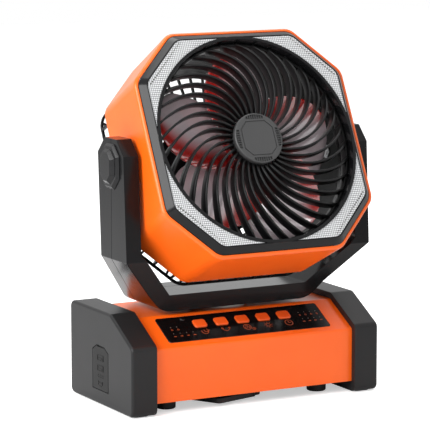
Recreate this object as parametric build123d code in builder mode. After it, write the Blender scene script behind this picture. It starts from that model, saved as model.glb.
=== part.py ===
from build123d import *
from math import atan2, cos, degrees, radians, sin, tan
import os

# A portable camping fan: a base with end caps, a yoke that pans on it and a head that tilts in the yoke.
# The origin is the middle of the base's footprint, on the ground. +X right, +Y back, +Z up.

# fits
slide_gap = 0.3  # between pieces that move past each other
snug_gap = 0.1  # between pieces that are fixed together
running_gap = 0.05  # round a shaft or a bolt that turns

# base casing, seen from the side
base_length = 254.0
base_depth = 128.0
base_height = 87.5
front_height = 63.3  # top of the upright front of the end caps
slope_run = 44.5  # how far back the slope reaches
cap_width = 25.0
cap_wall = 2.6
cap_corner = 6.0
cap_edge = 2.5
pad_height = 1.0
pad_length = 24.0
pad_width = 15.0
pad_inset = 3.5
casing_inset = 6.0  # the casing lies this far inside the end caps' outline
casing_wall = 2.6
casing_corner = 3.0
casing_bottom = 10.5
casing_overlap = 14.0  # how far the casing reaches into each cap
floor_thickness = 2.6

# control panel on the slope
panel_length = 167.0
panel_width = 34.5
panel_thickness = 1.5
panel_corner = 2.5
panel_down = 23.0  # from the end caps' upper bend to the middle of the panel
button_names = ("night", "swing", "speed", "light", "timer")
button_pitch = 21.7
button_length = 12.6
button_width = 10.2
button_corner = 2.6
button_rise = 1.7
button_travel = 0.8
button_up = 4.5  # from the middle of the panel to the row of buttons
button_flange = 1.2
eye_radius = 2.6
eye_from_middle = 57.5
eye_up = 13.0
board_depth = 8.0
board_thickness = 1.6
board_length = 160.0
board_width = 28.0
post_radius = 2.6
post_pitch = 148.0
switch_side = 6.0
switch_body = 1.4
switch_height = 1.9

# batteries
cell_radius = 9.2
cell_length = 65.0
cell_pitch = 20.0
cells_per_tray = 3
tray_from_middle = 74.0
tray_back = 4.0
tray_wall = 1.6

# ports behind the left cap
port_back = 0.5  # middle of the port cover along Y
port_width = 32.0
port_bottom = 14.5
port_height = 40.6
port_shoulder = 35.8
port_peak = 14.0
port_depth = 2.4
port_pad = 3.0
usb_length = 13.2
usb_height = 5.8
jack_side = 9.0
jack_bore = 2.8

# pan drive
pan_back = 14.0  # pan axis along Y
spindle_radius = 9.0
spindle_bore = 5.5
spindle_flange = 15.0
spindle_flange_thickness = 2.4
bearing_tube = 16.0
bearing_flange = 27.0
bearing_depth = 17.0
ring_thickness = 3.0
ring_width = 4.0
shaft_radius = 3.0
motor_radius = 25.0
motor_height = 20.0
motor_drop = 22.0  # from the underside of the casing's top to the motor's top
bracket_thickness = 2.0
bracket_leg = 6.0

# yoke, seen from the front and from the side
yoke_bottom = 85.1
yoke_top = 245.5
yoke_half_width = 125.0
arm_thickness = 15.0
bar_thickness = 15.9
bend_height = 137.6
bar_half_length = 76.0
yoke_wall = 2.6
outer_bend_radius = 12.0
outer_foot_radius = 22.0
inner_bend_radius = 18.0
inner_foot_radius = 5.0
bar_front = -22.0
bar_front_top = -26.5
bend_front = -50.0
bend_back = 1.5
bar_back = 50.0
arm_lean = 5.5  # how far back the arms' tops lie
arm_chamfer = 14.0
seam_from_back = 21.0
yoke_screw_radius = 1.5
yoke_screw_head = 2.9
bar_screw_from_middle = 45.0
arm_screw_height = 179.5

# head
pivot_back = -20.0
pivot_height = 221.0
head_pitch = 27.0  # the head looks up by this much at rest
bezel_ahead = 42.5  # from the pivot to the front edge of the casing
bezel_half = 103.6
bezel_cut = 42.2
bezel_corner = 15.0
bezel_rise = 6.0
bezel_slope = 6.5
bezel_skirt = 12.0
bezel_wall = 1.5
shell_lip = 3.4
lip_round = 2.8
shell_depth = 75.0
shell_rear_half = 104.0
shell_rear_cut = 41.0
shell_wall = 2.5
duct_radius = 95.3
duct_wall = 3.0
duct_back = 20.0
lens_thickness = 2.2
lens_recess = 0.4
reflector_thickness = 1.2
reflector_drop = 8.5
led_board_length = 46.0
led_board_width = 6.0
led_count = 7
led_side = 2.8
pivot_radius = 4.0
pivot_boss = 15.0
pivot_boss_inner = 11.0
pivot_boss_reach = 98.0
washer_thickness = 0.7
nut_radius = 7.0
nut_thickness = 3.0
bolt_head_radius = 7.0
bolt_head_height = 2.6
cover_half_depth = 17.0
cover_half_height = 20.2
cover_cut = 10.0
cover_base = 3.0
cover_step = 4.5
cover_rise = 6.4
cover_base_bevel = 2.4
cover_bevel = 3.2

# front grille
rib_count = 36
rib_width = 2.0
rib_depth = 4.0
rib_sweep = 40.3
rib_bend = 1.34  # how late the ribs turn off; 1 would be an even spiral
rib_phase = -2.5
grille_hub_radius = 24.0
grille_hub_ahead = 3.0  # front of the ribs at the hub, ahead of the casing's front edge
grille_crown_ahead = 9.5  # front of the ribs where they stand furthest forward
grille_crown_radius = 66.0
grille_rim_ahead = -2.0  # front of the ribs at the rim
grille_ring_width = 2.4
hub_groove = 0.8
hub_cap_thickness = 5.1
hub_seat = 0.8  # how far the hub's disc lies behind the ribs' front
hub_cap_half = 15.5
hub_cap_cut = 6.5

# rear grille
cage_half = 102.0
cage_cut = 42.0
cage_ahead = -50.0
cage_corner = 25.0
cage_wall = 2.6
cage_rim = 4.0
cage_insert = 6.0
cage_post = 3.0
cage_post_pitch = 16.5
rear_rib_width = 2.6
rear_rib_count = 48
rear_ring_pitch = 9.6
rear_ring_count = 7
rear_hub_radius = 34.0

# motor and rotor
fan_motor_radius = 22.0
fan_motor_length = 29.5
motor_screw_circle = 15.0
motor_screw_length = 7.0
rotor_shaft_radius = 2.0
rotor_shaft_ahead = 32.0
bush_radius = 4.0
bush_length = 3.0
blade_count = 5
blade_phase = 4.5
blade_radius = 90.0
blade_thickness = 2.0
blade_low = 3.0
blade_high = 27.0
blade_camber = 4.0
blade_spread = 58.0  # angle that one blade covers
blade_hub_radius = 22.0
blade_hub_back = 1.0
blade_hub_front = 29.0
blade_hub_wall = 2.4

# feet, screws and hook
foot_radius = 9.0
foot_from_middle = 78.5
foot_from_center_line = 34.0
floor_screw_from_middle = 92.0
floor_screw_from_center_line = 41.0
floor_screw_length = 14.0
screw_radius = 1.5
screw_head = 3.0
screw_head_height = 1.6
boss_radius = 4.0
boss_height = 24.0
web_thickness = 2.0
hook_x = -22.9
hook_y = -10.4
hook_turn = 15.0
hook_plate_radius = 20.0
hook_plate_thickness = 2.5
hook_thickness = 5.3
hook_pin_radius = 1.6
hook_reach = 40.0
hook_front_half = 23.0
hook_back_half = 36.9
hook_inner_half = 29.5  # half width of the loop's hole beside the hinge
hook_bar = 6.5
hinge_back = 8.0
ear_width = 5.0
ear_from_middle = 15.0
lug_inner = 21.0

upward = (Align.CENTER, Align.CENTER, Align.MIN)
downward = (Align.CENTER, Align.CENTER, Align.MAX)

os.makedirs("parts", exist_ok=True)


def finish(part, name):
    part.label = name
    export_step(part, f"parts/{name}.step")


# ---------------------------------------------------------------- base

slope_angle = atan2(base_height - front_height, slope_run)
half_length = base_length / 2
half_depth = base_depth / 2
cap_inner = half_length - cap_width
casing_half = cap_inner + casing_overlap
casing_top = base_height - casing_inset
casing_ceiling = casing_top - casing_wall
casing_floor = casing_bottom + floor_thickness


def side_outline(inset, bottom):
    """Corners of the base seen from the side (Y, Z), each wall moved inwards by inset."""
    front = -half_depth + inset
    top = base_height - inset
    lowered = inset / cos(slope_angle)
    slope_start = front_height + inset * tan(slope_angle) - lowered
    slope_end = -half_depth + (top + lowered - front_height) / tan(slope_angle)
    back = half_depth - inset
    return [(front, bottom), (front, slope_start), (slope_end, top), (back, top), (back, bottom)]


slope_back = -half_depth + slope_run
slope_plane = Plane(
    origin=(
        0,
        slope_back - panel_down * cos(slope_angle) + casing_inset * sin(slope_angle),
        base_height - panel_down * sin(slope_angle) - casing_inset * cos(slope_angle),
    ),
    x_dir=(1, 0, 0),
    z_dir=(0, -sin(slope_angle), cos(slope_angle)),
)
slope_axis = Axis(slope_plane.origin, slope_plane.z_dir)
button_places = [(button_pitch * (i - 2), button_up) for i in range(len(button_names))]
window_length = button_length + 2 * slide_gap
window_width = button_width + 2 * slide_gap
floor_screw_grid = (2 * floor_screw_from_middle, 2 * floor_screw_from_center_line, 2, 2)
floor_width = base_depth - 2 * (casing_inset + casing_wall + snug_gap)

with BuildPart() as base_shell:
    with BuildSketch(Plane.YZ.offset(-casing_half)) as section:
        Polygon(*side_outline(casing_inset, casing_bottom), align=None)
        rows = section.vertices().group_by(Axis.Y)
        fillet(rows[-1] + rows[-2], casing_corner)
    extrude(amount=2 * casing_half)
    with BuildSketch(Plane.YZ.offset(-casing_half)):
        Polygon(*side_outline(casing_inset + casing_wall, 0), align=None)
    extrude(amount=2 * casing_half, mode=Mode.SUBTRACT)
    # posts that carry the control board
    with BuildSketch(slope_plane.offset(-board_depth)):
        with GridLocations(post_pitch, board_width - 2 * post_radius - 2, 2, 2):
            Circle(post_radius)
    extrude(amount=board_depth - casing_wall / 2)
    # bosses for the floor's screws, along the front and back walls
    with BuildSketch(Plane.XY.offset(casing_floor)):
        with GridLocations(*floor_screw_grid):
            Circle(boss_radius)
        with GridLocations(2 * floor_screw_from_middle, base_depth - 2 * casing_inset, 2, 2):
            Rectangle(web_thickness, base_depth - 2 * casing_inset - 2 * floor_screw_from_center_line)
    extrude(amount=boss_height)
    with BuildSketch(Plane.YZ.offset(-casing_half)):
        Polygon(*side_outline(casing_inset, casing_bottom), align=None)
    extrude(amount=2 * casing_half, mode=Mode.INTERSECT)
    with Locations(Plane.XY.offset(casing_floor)):
        with GridLocations(*floor_screw_grid):
            Cylinder(screw_radius + snug_gap, floor_screw_length, align=upward, mode=Mode.SUBTRACT)
    # pocket of the panel and openings for the buttons
    with BuildSketch(slope_plane):
        RectangleRounded(panel_length + 2 * snug_gap, panel_width + 2 * snug_gap, panel_corner + snug_gap)
    extrude(amount=-panel_thickness, mode=Mode.SUBTRACT)
    with BuildSketch(slope_plane):
        with Locations(*button_places):
            RectangleRounded(window_length, window_width, button_corner)
        with Locations((-eye_from_middle, eye_up)):
            Circle(eye_radius / 2)
    extrude(amount=-2 * casing_wall, mode=Mode.SUBTRACT)
    # seat of the pan bearing
    with Locations((0, pan_back, casing_top)):
        Cylinder(bearing_tube + snug_gap, 4 * casing_wall, mode=Mode.SUBTRACT)
finish(base_shell.part, "base_shell")

hook_plane = Plane(
    origin=(hook_x, hook_y, casing_bottom),
    x_dir=(cos(radians(hook_turn)), sin(radians(hook_turn)), 0),
    z_dir=(0, 0, 1),
)
foot_grid = (2 * foot_from_middle, 2 * foot_from_center_line, 2, 2)

with BuildPart() as base_floor:
    with BuildSketch(Plane.XY.offset(casing_bottom)):
        Rectangle(2 * casing_half, floor_width)
    extrude(amount=floor_thickness)
    with Locations(Plane.XY.offset(casing_bottom)):
        with GridLocations(*floor_screw_grid):
            Cylinder(screw_radius + snug_gap, 4 * floor_thickness, mode=Mode.SUBTRACT)
    with Locations(hook_plane):
        Cylinder(hook_pin_radius + running_gap, 4 * floor_thickness, mode=Mode.SUBTRACT)
finish(base_floor.part, "base_floor")

# outline of the port cover on the left cap, in (Y, Z)
port_plane = Plane.YZ.offset(-half_length)


def port_outline(gap):
    half = port_width / 2 + gap
    low = port_bottom - gap
    peak = port_bottom + port_height + gap
    shoulder = port_bottom + port_shoulder + gap
    peak_half = port_peak / 2
    points = [(half, low), (half, shoulder), (peak_half, peak)]
    points += [(-y, z) for y, z in reversed(points)]
    return [(port_back + y, z) for y, z in points]


usb_places = [(port_back, port_bottom + 29.5), (port_back, port_bottom + 20)]
jack_place = (port_back, port_bottom + 8.5)

for side, name in ((-1, "left_end_cap"), (1, "right_end_cap")):
    with BuildPart() as end_cap:
        with BuildSketch(Plane.YZ.offset(side * cap_inner)) as section:
            Polygon(*side_outline(0, pad_height), align=None)
            fillet(section.vertices(), cap_corner)
        extrude(amount=side * cap_width)
        fillet(end_cap.faces().sort_by(Axis.X)[0 if side < 0 else -1].edges(), cap_edge)
        with BuildSketch(Plane.YZ.offset(side * (cap_inner + cap_wall))):
            Polygon(*side_outline(cap_wall, pad_height + cap_wall), align=None)
        extrude(amount=side * (cap_width - 2 * cap_wall), mode=Mode.SUBTRACT)
        with BuildSketch(Plane.YZ.offset(side * cap_inner)) as section:
            Polygon(*side_outline(casing_inset - snug_gap, casing_bottom - snug_gap), align=None)
            rows = section.vertices().group_by(Axis.Y)
            fillet(rows[-1] + rows[-2], casing_corner)
        extrude(amount=side * cap_wall, mode=Mode.SUBTRACT)
        if side < 0:
            # thicker wall behind the port cover, its recess and the holes of the sockets
            with BuildSketch(port_plane.offset(cap_wall)):
                with Locations((port_back, port_bottom + port_height / 2)):
                    Rectangle(port_width + 8, port_height + 6)
            extrude(amount=port_pad)
            with BuildSketch(port_plane):
                Polygon(*port_outline(slide_gap), align=None)
            extrude(amount=port_depth + snug_gap, mode=Mode.SUBTRACT)
            with BuildSketch(port_plane):
                with Locations(*usb_places):
                    Rectangle(usb_length + 2 * snug_gap, usb_height + 2 * snug_gap)
                with Locations(jack_place):
                    Rectangle(jack_side + 2 * snug_gap, jack_side + 2 * snug_gap)
            extrude(amount=2 * (cap_wall + port_pad), mode=Mode.SUBTRACT)
    finish(end_cap.part, name)

with BuildPart() as cap_pads:
    with BuildSketch():
        with GridLocations(base_length - cap_width, base_depth - pad_length - 4 * pad_inset, 2, 2):
            RectangleRounded(pad_width, pad_length, 3)
    extrude(amount=pad_height)
finish(cap_pads.part, "cap_pads")

with BuildPart() as rubber_feet:
    with BuildSketch():
        with GridLocations(*foot_grid):
            Circle(foot_radius)
    extrude(amount=casing_bottom)
    fillet(rubber_feet.faces().sort_by(Axis.Z)[0:4].edges(), 1.6)
finish(rubber_feet.part, "rubber_feet")

with BuildPart() as base_screws:
    with Locations(Plane.XY.offset(casing_bottom)):
        with GridLocations(*floor_screw_grid):
            Cylinder(screw_radius, floor_screw_length, align=upward)
            Cylinder(screw_head, screw_head_height, align=downward)
finish(base_screws.part, "base_screws")

# control panel, its buttons and the board under it

with BuildPart() as control_panel:
    with BuildSketch(slope_plane.offset(-panel_thickness)):
        RectangleRounded(panel_length, panel_width, panel_corner)
        with Locations(*button_places):
            RectangleRounded(window_length, window_width, button_corner, mode=Mode.SUBTRACT)
        with Locations((-eye_from_middle, eye_up)):
            Circle(eye_radius / 2, mode=Mode.SUBTRACT)
    extrude(amount=panel_thickness + 0.2)
    chamfer(control_panel.faces().sort_by(slope_axis)[-1].outer_wire().edges(), 0.3)
finish(control_panel.part, "control_panel")

stem_bottom = -board_depth + switch_height + button_travel + snug_gap
for name, place in zip(button_names, button_places):
    with BuildPart() as button:
        with BuildSketch(slope_plane.offset(-casing_wall - button_flange)):
            with Locations(place):
                RectangleRounded(button_length, button_width, button_corner - slide_gap)
        extrude(amount=casing_wall + button_flange + button_rise)
        fillet(button.faces().sort_by(slope_axis)[-1].edges(), 0.9)
        with BuildSketch(slope_plane.offset(-casing_wall - button_flange - snug_gap)):
            with Locations(place):
                Rectangle(button_length + 3, button_width + 3)
        extrude(amount=button_flange)
        with BuildSketch(slope_plane.offset(stem_bottom)):
            with Locations(place):
                Circle(2)
        extrude(amount=-stem_bottom - casing_wall)
    finish(button.part, f"button_{name}")

with BuildPart() as remote_eye:
    with BuildSketch(slope_plane.offset(-casing_wall)):
        with Locations((-eye_from_middle, eye_up)):
            Circle(eye_radius / 2 - snug_gap)
    extrude(amount=casing_wall + 0.2)
    with BuildSketch(slope_plane.offset(0.2)):
        with Locations((-eye_from_middle, eye_up)):
            Circle(eye_radius)
    extrude(amount=1.6)
    fillet(remote_eye.faces().sort_by(slope_axis)[-1].edges(), 1.4)
finish(remote_eye.part, "remote_eye")

with BuildPart() as control_board:
    with BuildSketch(slope_plane.offset(-board_depth)):
        Rectangle(board_length, board_width)
    extrude(amount=-board_thickness)
finish(control_board.part, "control_board")

with BuildPart() as tact_switches:
    with BuildSketch(slope_plane.offset(-board_depth)):
        with Locations(*button_places):
            Rectangle(switch_side, switch_side)
    extrude(amount=switch_body)
    with BuildSketch(slope_plane.offset(-board_depth)):
        with Locations(*button_places):
            Circle(switch_side / 4)
    extrude(amount=switch_height)
finish(tact_switches.part, "tact_switches")

# batteries

cell_rows = GridLocations(2 * tray_from_middle, cell_pitch, 2, cells_per_tray)
cell_height = casing_floor + tray_wall + cell_radius + snug_gap

with BuildPart() as battery_cells:
    for cell in cell_rows:
        with BuildSketch(Plane.YZ.offset(cell.position.X - cell_length / 2)):
            with Locations((cell.position.Y + tray_back, cell_height)):
                Circle(cell_radius)
        extrude(amount=cell_length)
finish(battery_cells.part, "battery_cells")

with BuildPart() as battery_trays:
    with BuildSketch(Plane.XY.offset(casing_floor)):
        with Locations((-tray_from_middle, tray_back), (tray_from_middle, tray_back)):
            Rectangle(cell_length + 6, cell_pitch * cells_per_tray + 2)
    extrude(amount=tray_wall + cell_radius)
    for cell in cell_rows:
        with BuildSketch(Plane.YZ.offset(cell.position.X - cell_length / 2 - snug_gap)):
            with Locations((cell.position.Y + tray_back, cell_height)):
                Circle(cell_radius + snug_gap)
        extrude(amount=cell_length + 2 * snug_gap, mode=Mode.SUBTRACT)
finish(battery_trays.part, "battery_trays")

# sockets behind the left cap

port_wall = cap_wall + port_pad
board_face = port_plane.offset(port_wall + 5.0)

with BuildPart() as usb_sockets:
    with BuildSketch(port_plane.offset(port_depth + 2 * snug_gap)):
        with Locations(*usb_places):
            Rectangle(usb_length, usb_height)
            Rectangle(usb_length - 1, usb_height - 1, mode=Mode.SUBTRACT)
    extrude(amount=port_wall + 5.0 - port_depth - 2 * snug_gap)
    with BuildSketch(port_plane.offset(port_wall + 4.0)):
        with Locations(*usb_places):
            Rectangle(usb_length, usb_height)
    extrude(amount=1.0)
    with BuildSketch(port_plane.offset(port_depth + 1.4)):
        with Locations(*[(y, z + 0.9) for y, z in usb_places]):
            Rectangle(usb_length - 3, 1.4)
    extrude(amount=port_wall + 3.6 - port_depth)
finish(usb_sockets.part, "usb_sockets")

with BuildPart() as dc_jack:
    with BuildSketch(port_plane.offset(port_depth + 2 * snug_gap)):
        with Locations(jack_place):
            Rectangle(jack_side, jack_side)
            Circle(jack_bore, mode=Mode.SUBTRACT)
    extrude(amount=port_wall + 4.0 - port_depth)
    with BuildSketch(port_plane.offset(port_wall + 4.0)):
        with Locations(jack_place):
            Rectangle(jack_side, jack_side)
    extrude(amount=1.0)
    with BuildSketch(port_plane.offset(port_depth + 1.4)):
        with Locations(jack_place):
            Circle(1.0)
    extrude(amount=port_wall + 3.0 - port_depth)
finish(dc_jack.part, "dc_jack")

with BuildPart() as port_board:
    with BuildSketch(board_face):
        with Locations((port_back, port_bottom + port_height / 2)):
            Rectangle(port_width + 6, port_height)
    extrude(amount=board_thickness)
    # spacers that stand the board off the cap's wall
    with BuildSketch(port_plane.offset(port_wall)):
        with Locations((port_back, port_bottom + port_height / 2)):
            with GridLocations(port_width, port_height - 6, 2, 2):
                Circle(2)
    extrude(amount=5.0)
finish(port_board.part, "port_board")

with BuildPart() as port_cover:
    with BuildSketch(port_plane):
        Polygon(*port_outline(0), align=None)
    extrude(amount=port_depth)
    chamfer(port_cover.faces().sort_by(Axis.X)[0].edges(), 0.4)
    # finger notch under the peak
    with BuildSketch(port_plane):
        with Locations((port_back, port_bottom + port_height)):
            Rectangle(port_peak - 2, 2.4)
    extrude(amount=port_depth / 2, mode=Mode.SUBTRACT)
finish(port_cover.part, "port_cover")

# pan drive

bearing_top = yoke_bottom - slide_gap
bearing_bottom = casing_top - bearing_depth

with BuildPart() as pan_bearing:
    with Locations((0, pan_back, casing_top)):
        Cylinder(bearing_flange, bearing_top - casing_top, align=upward)
        Cylinder(bearing_tube, bearing_depth, align=downward)
        Cylinder(spindle_radius + running_gap, 4 * bearing_depth, mode=Mode.SUBTRACT)
finish(pan_bearing.part, "pan_bearing")

motor_top = casing_ceiling - motor_drop
spindle_bottom = bearing_bottom - slide_gap - ring_thickness

with BuildPart() as pan_spindle:
    with Locations((0, pan_back, spindle_bottom)):
        Cylinder(spindle_radius, yoke_bottom + yoke_wall - spindle_bottom, align=upward)
    with Locations((0, pan_back, yoke_bottom + yoke_wall)):
        Cylinder(spindle_flange, spindle_flange_thickness, align=upward)
        Cylinder(spindle_bore, 30, mode=Mode.SUBTRACT)
    with Locations((0, pan_back, spindle_bottom)):
        Cylinder(shaft_radius + running_gap, 40, mode=Mode.SUBTRACT)
finish(pan_spindle.part, "pan_spindle")

with BuildPart() as spindle_ring:
    with Locations((0, pan_back, spindle_bottom)):
        Cylinder(spindle_radius + ring_width, ring_thickness, align=upward)
        Cylinder(spindle_radius + running_gap, 4 * ring_thickness, mode=Mode.SUBTRACT)
finish(spindle_ring.part, "spindle_ring")

shaft_bottom = motor_top - 14.0

with BuildPart() as swing_shaft:
    with Locations((0, pan_back, shaft_bottom)):
        Cylinder(shaft_radius, spindle_bottom + 12.0 - shaft_bottom, align=upward)
finish(swing_shaft.part, "swing_shaft")

with BuildPart() as swing_motor:
    with Locations((0, pan_back, motor_top)):
        Cylinder(motor_radius, motor_height, align=downward)
        Cylinder(shaft_radius + 3, 1.5, align=upward)
    with Locations((0, pan_back, shaft_bottom - slide_gap)):
        Cylinder(shaft_radius + running_gap, 40, align=upward, mode=Mode.SUBTRACT)
finish(swing_motor.part, "swing_motor")

motor_bottom = motor_top - motor_height

with BuildPart() as swing_motor_bracket:
    with BuildSketch(Plane.XY.offset(motor_bottom - bracket_thickness)):
        with Locations((0, pan_back)):
            RectangleRounded(2 * motor_radius, 2 * motor_radius, bracket_leg)
    extrude(amount=bracket_thickness)
    with BuildSketch(Plane.XY.offset(casing_floor)):
        with Locations((0, pan_back)):
            with GridLocations(2 * motor_radius - bracket_leg, 2 * motor_radius - bracket_leg, 2, 2):
                Circle(bracket_leg / 2)
    extrude(amount=motor_bottom - bracket_thickness - casing_floor)
finish(swing_motor_bracket.part, "swing_motor_bracket")

# hook folded under the base, in the plane of the floor's underside

hook_hinge = hook_plane.offset(-hook_plate_thickness - hook_thickness / 2)
hinge_side = Plane(hook_hinge.origin, x_dir=hook_hinge.y_dir, z_dir=hook_hinge.x_dir)
hinge_bore = hook_pin_radius - 0.4
pin_half = hook_back_half - 1.0
loop_drop = 0.4  # how much thinner the loop is than the space under the plate

with BuildPart() as hook_swivel_plate:
    with BuildSketch(hook_plane.offset(-slide_gap)):
        Circle(hook_plate_radius)
    extrude(amount=-(hook_plate_thickness - slide_gap))
    with BuildSketch(hook_plane.offset(-hook_plate_thickness)):
        with Locations((-ear_from_middle, hinge_back), (ear_from_middle, hinge_back)):
            Rectangle(ear_width, hook_thickness + 1)
    extrude(amount=-hook_thickness + loop_drop)
    with Locations(hook_plane):
        Cylinder(hook_pin_radius, floor_thickness - slide_gap, align=upward)
        Cylinder(hook_pin_radius, 1.0, align=downward)
    with BuildSketch(hinge_side.offset(-hook_back_half)):
        with Locations((hinge_back, 0)):
            Circle(hinge_bore)
    extrude(amount=2 * hook_back_half, mode=Mode.SUBTRACT)
finish(hook_swivel_plate.part, "hook_swivel_plate")

with BuildPart() as hook_pin:
    with BuildSketch(hinge_side.offset(-pin_half)):
        with Locations((hinge_back, 0)):
            Circle(hinge_bore - running_gap)
    extrude(amount=2 * pin_half)
finish(hook_pin.part, "hook_pin")

hook_front = -hook_reach
hook_back = hinge_back + 3.0
hole_half = hook_front_half - hook_bar

with BuildPart() as hanging_hook:
    with BuildSketch(hook_hinge.offset(-hook_thickness / 2 + loop_drop)) as loop:
        Polygon(
            (-hook_front_half, hook_front),
            (hook_front_half, hook_front),
            (hook_back_half, hook_back),
            (-hook_back_half, hook_back),
            align=None,
        )
        fillet(loop.vertices(), 4)
        # finger tab on the front right corner
        Polygon((22, -37), (30, -37), (34.8, -32.7), (33, -28), (24, -28), align=None)
        Polygon(
            (-hole_half, hook_front + hook_bar),
            (hole_half, hook_front + hook_bar),
            (hook_inner_half, hinge_back - 5),
            (-hook_inner_half, hinge_back - 5),
            align=None,
            mode=Mode.SUBTRACT,
        )
        with Locations((0, hinge_back - 1)):
            Rectangle(2 * lug_inner, 10, mode=Mode.SUBTRACT)
    extrude(amount=hook_thickness - 2 * loop_drop)
    with BuildSketch(hinge_side.offset(-pin_half)):
        with Locations((hinge_back, 0)):
            Circle(hinge_bore)
    extrude(amount=2 * pin_half, mode=Mode.SUBTRACT)
finish(hanging_hook.part, "hanging_hook")

# ---------------------------------------------------------------- yoke

diagonal = atan2(bend_height - yoke_bottom, yoke_half_width - bar_half_length)
bar_top = yoke_bottom + bar_thickness
arm_inner = yoke_half_width - arm_thickness


def diagonal_x(height, depth):
    """X of the line that lies depth inside the diagonal's outer face, at a height."""
    return yoke_half_width - (bend_height - height) / tan(diagonal) - depth / sin(diagonal)


inner_bend = bend_height - arm_thickness * (1 - 1 / sin(diagonal)) * tan(diagonal)
right_half = [
    (bar_half_length, yoke_bottom),
    (yoke_half_width, bend_height),
    (yoke_half_width, yoke_top),
    (arm_inner, yoke_top),
    (arm_inner, inner_bend),
    (diagonal_x(bar_top, arm_thickness), bar_top),
]
yoke_front_view = right_half + [(-x, z) for x, z in reversed(right_half)]
top_front = bend_front + arm_lean
top_back = bend_back + arm_lean
yoke_side_view = [
    (bar_front, yoke_bottom),
    (bar_front_top, bar_top),
    (bend_front, bend_height),
    (top_front, yoke_top - arm_chamfer),
    (top_front + arm_chamfer, yoke_top),
    (top_back - arm_chamfer, yoke_top),
    (top_back, yoke_top - arm_chamfer),
    (bend_back, bend_height),
    (bar_back, yoke_bottom),
]
reach = 160.0
pivot_axis_plane = Plane(origin=(0, pivot_back, pivot_height), x_dir=(0, 1, 0), z_dir=(1, 0, 0))


def yoke_solid(inset):
    with BuildPart() as solid:
        with BuildSketch(Plane.XZ) as front_view:
            Polygon(*yoke_front_view, align=None)
            rows = front_view.vertices().group_by(Axis.Y)
            fillet(rows[0], outer_foot_radius)
            fillet(rows[1], inner_foot_radius)
            fillet(rows[2], outer_bend_radius)
            fillet(rows[3], inner_bend_radius)
            if inset:
                offset(amount=-inset, kind=Kind.INTERSECTION, mode=Mode.REPLACE)
        extrude(amount=reach, both=True)
        with BuildSketch(Plane.YZ):
            Polygon(*yoke_side_view, align=None)
            if inset:
                offset(amount=-inset, kind=Kind.INTERSECTION, mode=Mode.REPLACE)
        extrude(amount=reach, both=True, mode=Mode.INTERSECT)
    return solid.part


seam = [(bar_back - seam_from_back, yoke_bottom), (pivot_back, bend_height), (pivot_back, yoke_top)]
seam_low = (seam[0][0] + (seam[0][0] - seam[1][0]), 2 * seam[0][1] - seam[1][1])
bar_screw_height = yoke_bottom + bar_thickness / 2
arm_screw_x = yoke_half_width - arm_thickness / 2
screw_seats = [
    (-bar_screw_from_middle, bar_screw_height, 30.0),
    (bar_screw_from_middle, bar_screw_height, 30.0),
    (-arm_screw_x, arm_screw_height, -6.0),
    (arm_screw_x, arm_screw_height, -6.0),
]
screw_length = 30.0

outer_yoke = yoke_solid(0)
inner_yoke = yoke_solid(yoke_wall)

with BuildPart() as yoke:
    add(outer_yoke)
    add(inner_yoke, mode=Mode.SUBTRACT)
    # sleeves of the pivot bolts and bosses of the screws, kept inside the outline
    with BuildSketch(pivot_axis_plane):
        Circle(pivot_radius + 5)
    extrude(amount=reach, both=True)
    for x, z, seat in screw_seats:
        with BuildSketch(Plane.XZ.offset(-seat - 10)):
            with Locations((x, z)):
                Circle(boss_radius)
        extrude(amount=reach)
    add(outer_yoke, mode=Mode.INTERSECT)
    with BuildSketch(pivot_axis_plane):
        Circle(pivot_radius + snug_gap)
    extrude(amount=reach, both=True, mode=Mode.SUBTRACT)
    for x, z, seat in screw_seats:
        with BuildSketch(Plane.XZ.offset(-seat)):
            with Locations((x, z)):
                Circle(yoke_screw_radius + snug_gap)
        extrude(amount=screw_length + 1, mode=Mode.SUBTRACT)
        with BuildSketch(Plane.XZ.offset(-seat)):
            with Locations((x, z)):
                Circle(yoke_screw_head + slide_gap)
        extrude(amount=-40, mode=Mode.SUBTRACT)
    with Locations((0, pan_back, yoke_bottom)):
        Cylinder(spindle_radius + snug_gap, 3 * yoke_wall, mode=Mode.SUBTRACT)

for name, far in (("yoke_front", -reach), ("yoke_rear", reach)):
    with BuildPart() as half:
        add(yoke.part)
        with BuildSketch(Plane.YZ):
            Polygon(
                seam_low,
                *seam[1:2],
                (pivot_back, yoke_top + 10),
                (far, yoke_top + 10),
                (far, seam_low[1]),
                align=None,
            )
        extrude(amount=reach, both=True, mode=Mode.INTERSECT)
    finish(half.part, name)

with BuildPart() as yoke_screws:
    for x, z, seat in screw_seats:
        with BuildSketch(Plane.XZ.offset(-seat)):
            with Locations((x, z)):
                Circle(yoke_screw_radius)
        extrude(amount=screw_length)
        with BuildSketch(Plane.XZ.offset(-seat)):
            with Locations((x, z)):
                Circle(yoke_screw_head)
        extrude(amount=-2.0)
finish(yoke_screws.part, "yoke_screws")


def octagon(half_width, half_height, cut):
    """Corners of a flat-topped octagon about its middle."""
    near_x = half_width - cut
    near_y = half_height - cut
    return [
        (near_x, half_height),
        (half_width, near_y),
        (half_width, -near_y),
        (near_x, -half_height),
        (-near_x, -half_height),
        (-half_width, -near_y),
        (-half_width, near_y),
        (-near_x, half_height),
    ]


top_cut = cover_cut - cover_step / 2
cover_top = octagon(cover_half_depth - cover_step, cover_half_height - cover_step, top_cut)

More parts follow.
